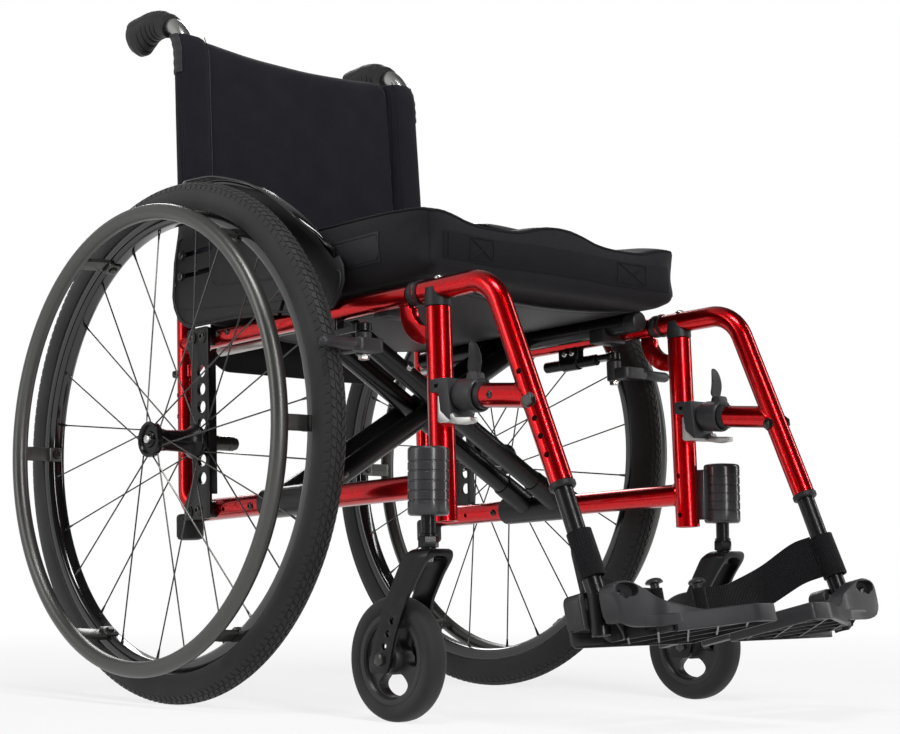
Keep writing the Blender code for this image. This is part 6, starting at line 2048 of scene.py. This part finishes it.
class Stage(ChairPart, bpy.types.Operator):
    """Pale floor, white background, soft studio lamps and the camera"""

    bl_idname = "chair.stage"
    bl_label = "Stage"

    def execute(self, context):
        scene = context.scene
        scene.view_settings.view_transform = "Standard"
        fresh()
        bpy.ops.mesh.primitive_plane_add(size=24, location=(0, 0, 0))
        floor = bpy.context.object
        bpy.ops.object.transform_apply()
        floor.name = "studio_floor"
        paper = bpy.data.materials.new("white_sweep")
        paper.use_nodes = True
        tree = paper.node_tree
        tree.nodes.clear()
        spot = add(paper, "TexCoord").outputs["Object"]
        fibre = add(paper, "TexNoise", {"Vector": spot, "Scale": 900.0, "Detail": 2.0}).outputs[0]
        shade = add(paper, "MixRGB", {"Fac": fibre, "Color1": (0.58, 0.58, 0.58, 1),
                                      "Color2": (0.64, 0.64, 0.64, 1)})
        matt = add(paper, "BsdfDiffuse", {"Color": shade.outputs[0], "Roughness": 1.0})
        glow = add(paper, "Emission", {"Color": (1, 1, 1, 1), "Strength": 1.0})
        path = add(paper, "LightPath")
        seen = add(paper, "Math", {0: path.outputs["Is Camera Ray"], 1: path.outputs["Is Glossy Ray"]},
                   operation="ADD")
        # the sweep turns into backdrop away from the chair
        away = add(paper, "VectorMath", {0: spot}, operation="LENGTH").outputs["Value"]
        glare = add(paper, "MapRange", {"Value": away, "From Min": 0.7, "From Max": 2.6, "To Min": 0.80,
                                        "To Max": 1.0})
        share = add(paper, "Math", {0: seen.outputs[0], 1: glare.outputs[0]}, operation="MULTIPLY",
                    use_clamp=True)
        mix = add(paper, "MixShader", {0: share.outputs[0], 1: matt.outputs[0], 2: glow.outputs[0]})
        add(paper, "OutputMaterial", {"Surface": mix.outputs[0]})
        floor.data.materials.append(paper)

        world = bpy.data.worlds.new("white_studio")
        scene.world = world
        world.use_nodes = True
        world.node_tree.nodes.clear()
        path = add(world, "LightPath")
        # the white backdrop stands behind the chair; towards the lens the studio is darker
        aim = add(world, "TexCoord").outputs["Generated"]
        behind = add(world, "VectorMath", {0: aim, 1: (-0.35, 0.94, 0.0)},
                     operation="DOT_PRODUCT").outputs["Value"]
        room = add(world, "MapRange", {"Value": behind, "From Min": 0.05, "From Max": 0.95, "To Min": 0.04,
                                       "To Max": 0.75})
        mirror = add(world, "Background", {"Color": (1, 1, 1, 1), "Strength": room.outputs[0]})
        soft = add(world, "Background", {"Color": (1, 1, 1, 1), "Strength": 0.18})
        white = add(world, "Background", {"Color": (1, 1, 1, 1), "Strength": 1.0})
        seen = add(
            world, "Math", {0: path.outputs["Is Camera Ray"], 1: path.outputs["Is Transmission Ray"]},
            operation="ADD", use_clamp=True,
        )
        lit = add(world, "MixShader", {0: path.outputs["Is Glossy Ray"], 1: soft.outputs[0],
                                       2: mirror.outputs[0]})
        mix = add(world, "MixShader", {0: seen.outputs[0], 1: lit.outputs[0], 2: white.outputs[0]})
        add(world, "OutputWorld", {"Surface": mix.outputs[0]})

        def lamp(name, place, wide, high, power):
            """A rectangular area light aimed at the chair."""
            fresh()
            bpy.ops.object.light_add(type="AREA", location=place)
            light = bpy.context.object
            light.name = name
            light.data.shape = "RECTANGLE"
            light.data.size = wide
            light.data.size_y = high
            light.data.energy = power
            light.rotation_euler = (Vector((0, 0, 0.35)) - Vector(place)).to_track_quat("-Z", "Y").to_euler()

        lamp("top_softbox", (-0.9, -0.7, 2.7), 0.9, 0.6, 34)
        lamp("key_strip", (-0.75, -2.55, 1.3), 0.34, 2.4, 46)
        lamp("side_strip", (2.35, -1.20, 1.2), 0.16, 2.4, 18)
        lamp("left_softbox", (-2.5, 0.9, 1.2), 0.7, 1.8, 15)
        lamp("rear_softbox", (1.3, 2.2, 1.9), 1.0, 1.0, 24)

        camera = bpy.data.objects.new("camera", bpy.data.cameras.new("camera"))
        scene.collection.objects.link(camera)
        camera.data.sensor_width = 36.0
        camera.data.lens = 73.59
        camera.data.clip_start = 0.01
        azimuth, pitch, roll = (math.radians(a) for a in (-43.29, -6.332, -0.132))
        back = Vector((math.sin(azimuth) * math.cos(pitch), -math.cos(azimuth) * math.cos(pitch),
                       math.sin(pitch)))
        right = (-back).cross(Vector(UP)).normalized()
        up = right.cross(-back)
        across = right * math.cos(roll) + up * math.sin(roll)
        rise = up * math.cos(roll) - right * math.sin(roll)
        matrix = Matrix((across, rise, back)).transposed().to_4x4()
        matrix.translation = Vector((-1.4492, -1.7310 + AXLE_Y, 0.1472))
        camera.matrix_world = matrix
        scene.camera = camera
        return {"FINISHED"}


PARTS = (
    SideFrames, Canes, AxlePlates, RearWheels, Casters, WheelLocks, SideGuards, Hangers, Footrests,
    HeelLoops, Brace, Seat, Back, Cushion, Stage,
)


class ChairPanel(bpy.types.Panel):
    """Sizes, colours and pieces of the chair in the sidebar"""

    bl_idname = "CHAIR_PT_pieces"
    bl_label = "Folding wheelchair"
    bl_space_type = "VIEW_3D"
    bl_region_type = "UI"
    bl_category = "Wheelchair"

    def draw(self, context):
        layout = self.layout
        for group in (context.scene.chair_sizes, context.scene.chair_colours):
            column = layout.column(align=True)
            for key in group.__annotations__:
                column.prop(group, key)
        column = layout.column(align=True)
        for part in PARTS:
            column.operator(part.bl_idname)


CLASSES = (ChairSizes, ChairColours) + PARTS + (ChairPanel,)


def register():
    for made in CLASSES:
        bpy.utils.register_class(made)
    bpy.types.Scene.chair_sizes = bpy.props.PointerProperty(type=ChairSizes)
    bpy.types.Scene.chair_colours = bpy.props.PointerProperty(type=ChairColours)


def unregister():
    del bpy.types.Scene.chair_sizes
    del bpy.types.Scene.chair_colours
    for made in reversed(CLASSES):
        bpy.utils.unregister_class(made)


def main():
    register()
    for part in PARTS:
        group, name = part.bl_idname.split(".")
        getattr(getattr(bpy.ops, group), name)()


if __name__ == "__main__":
    main()
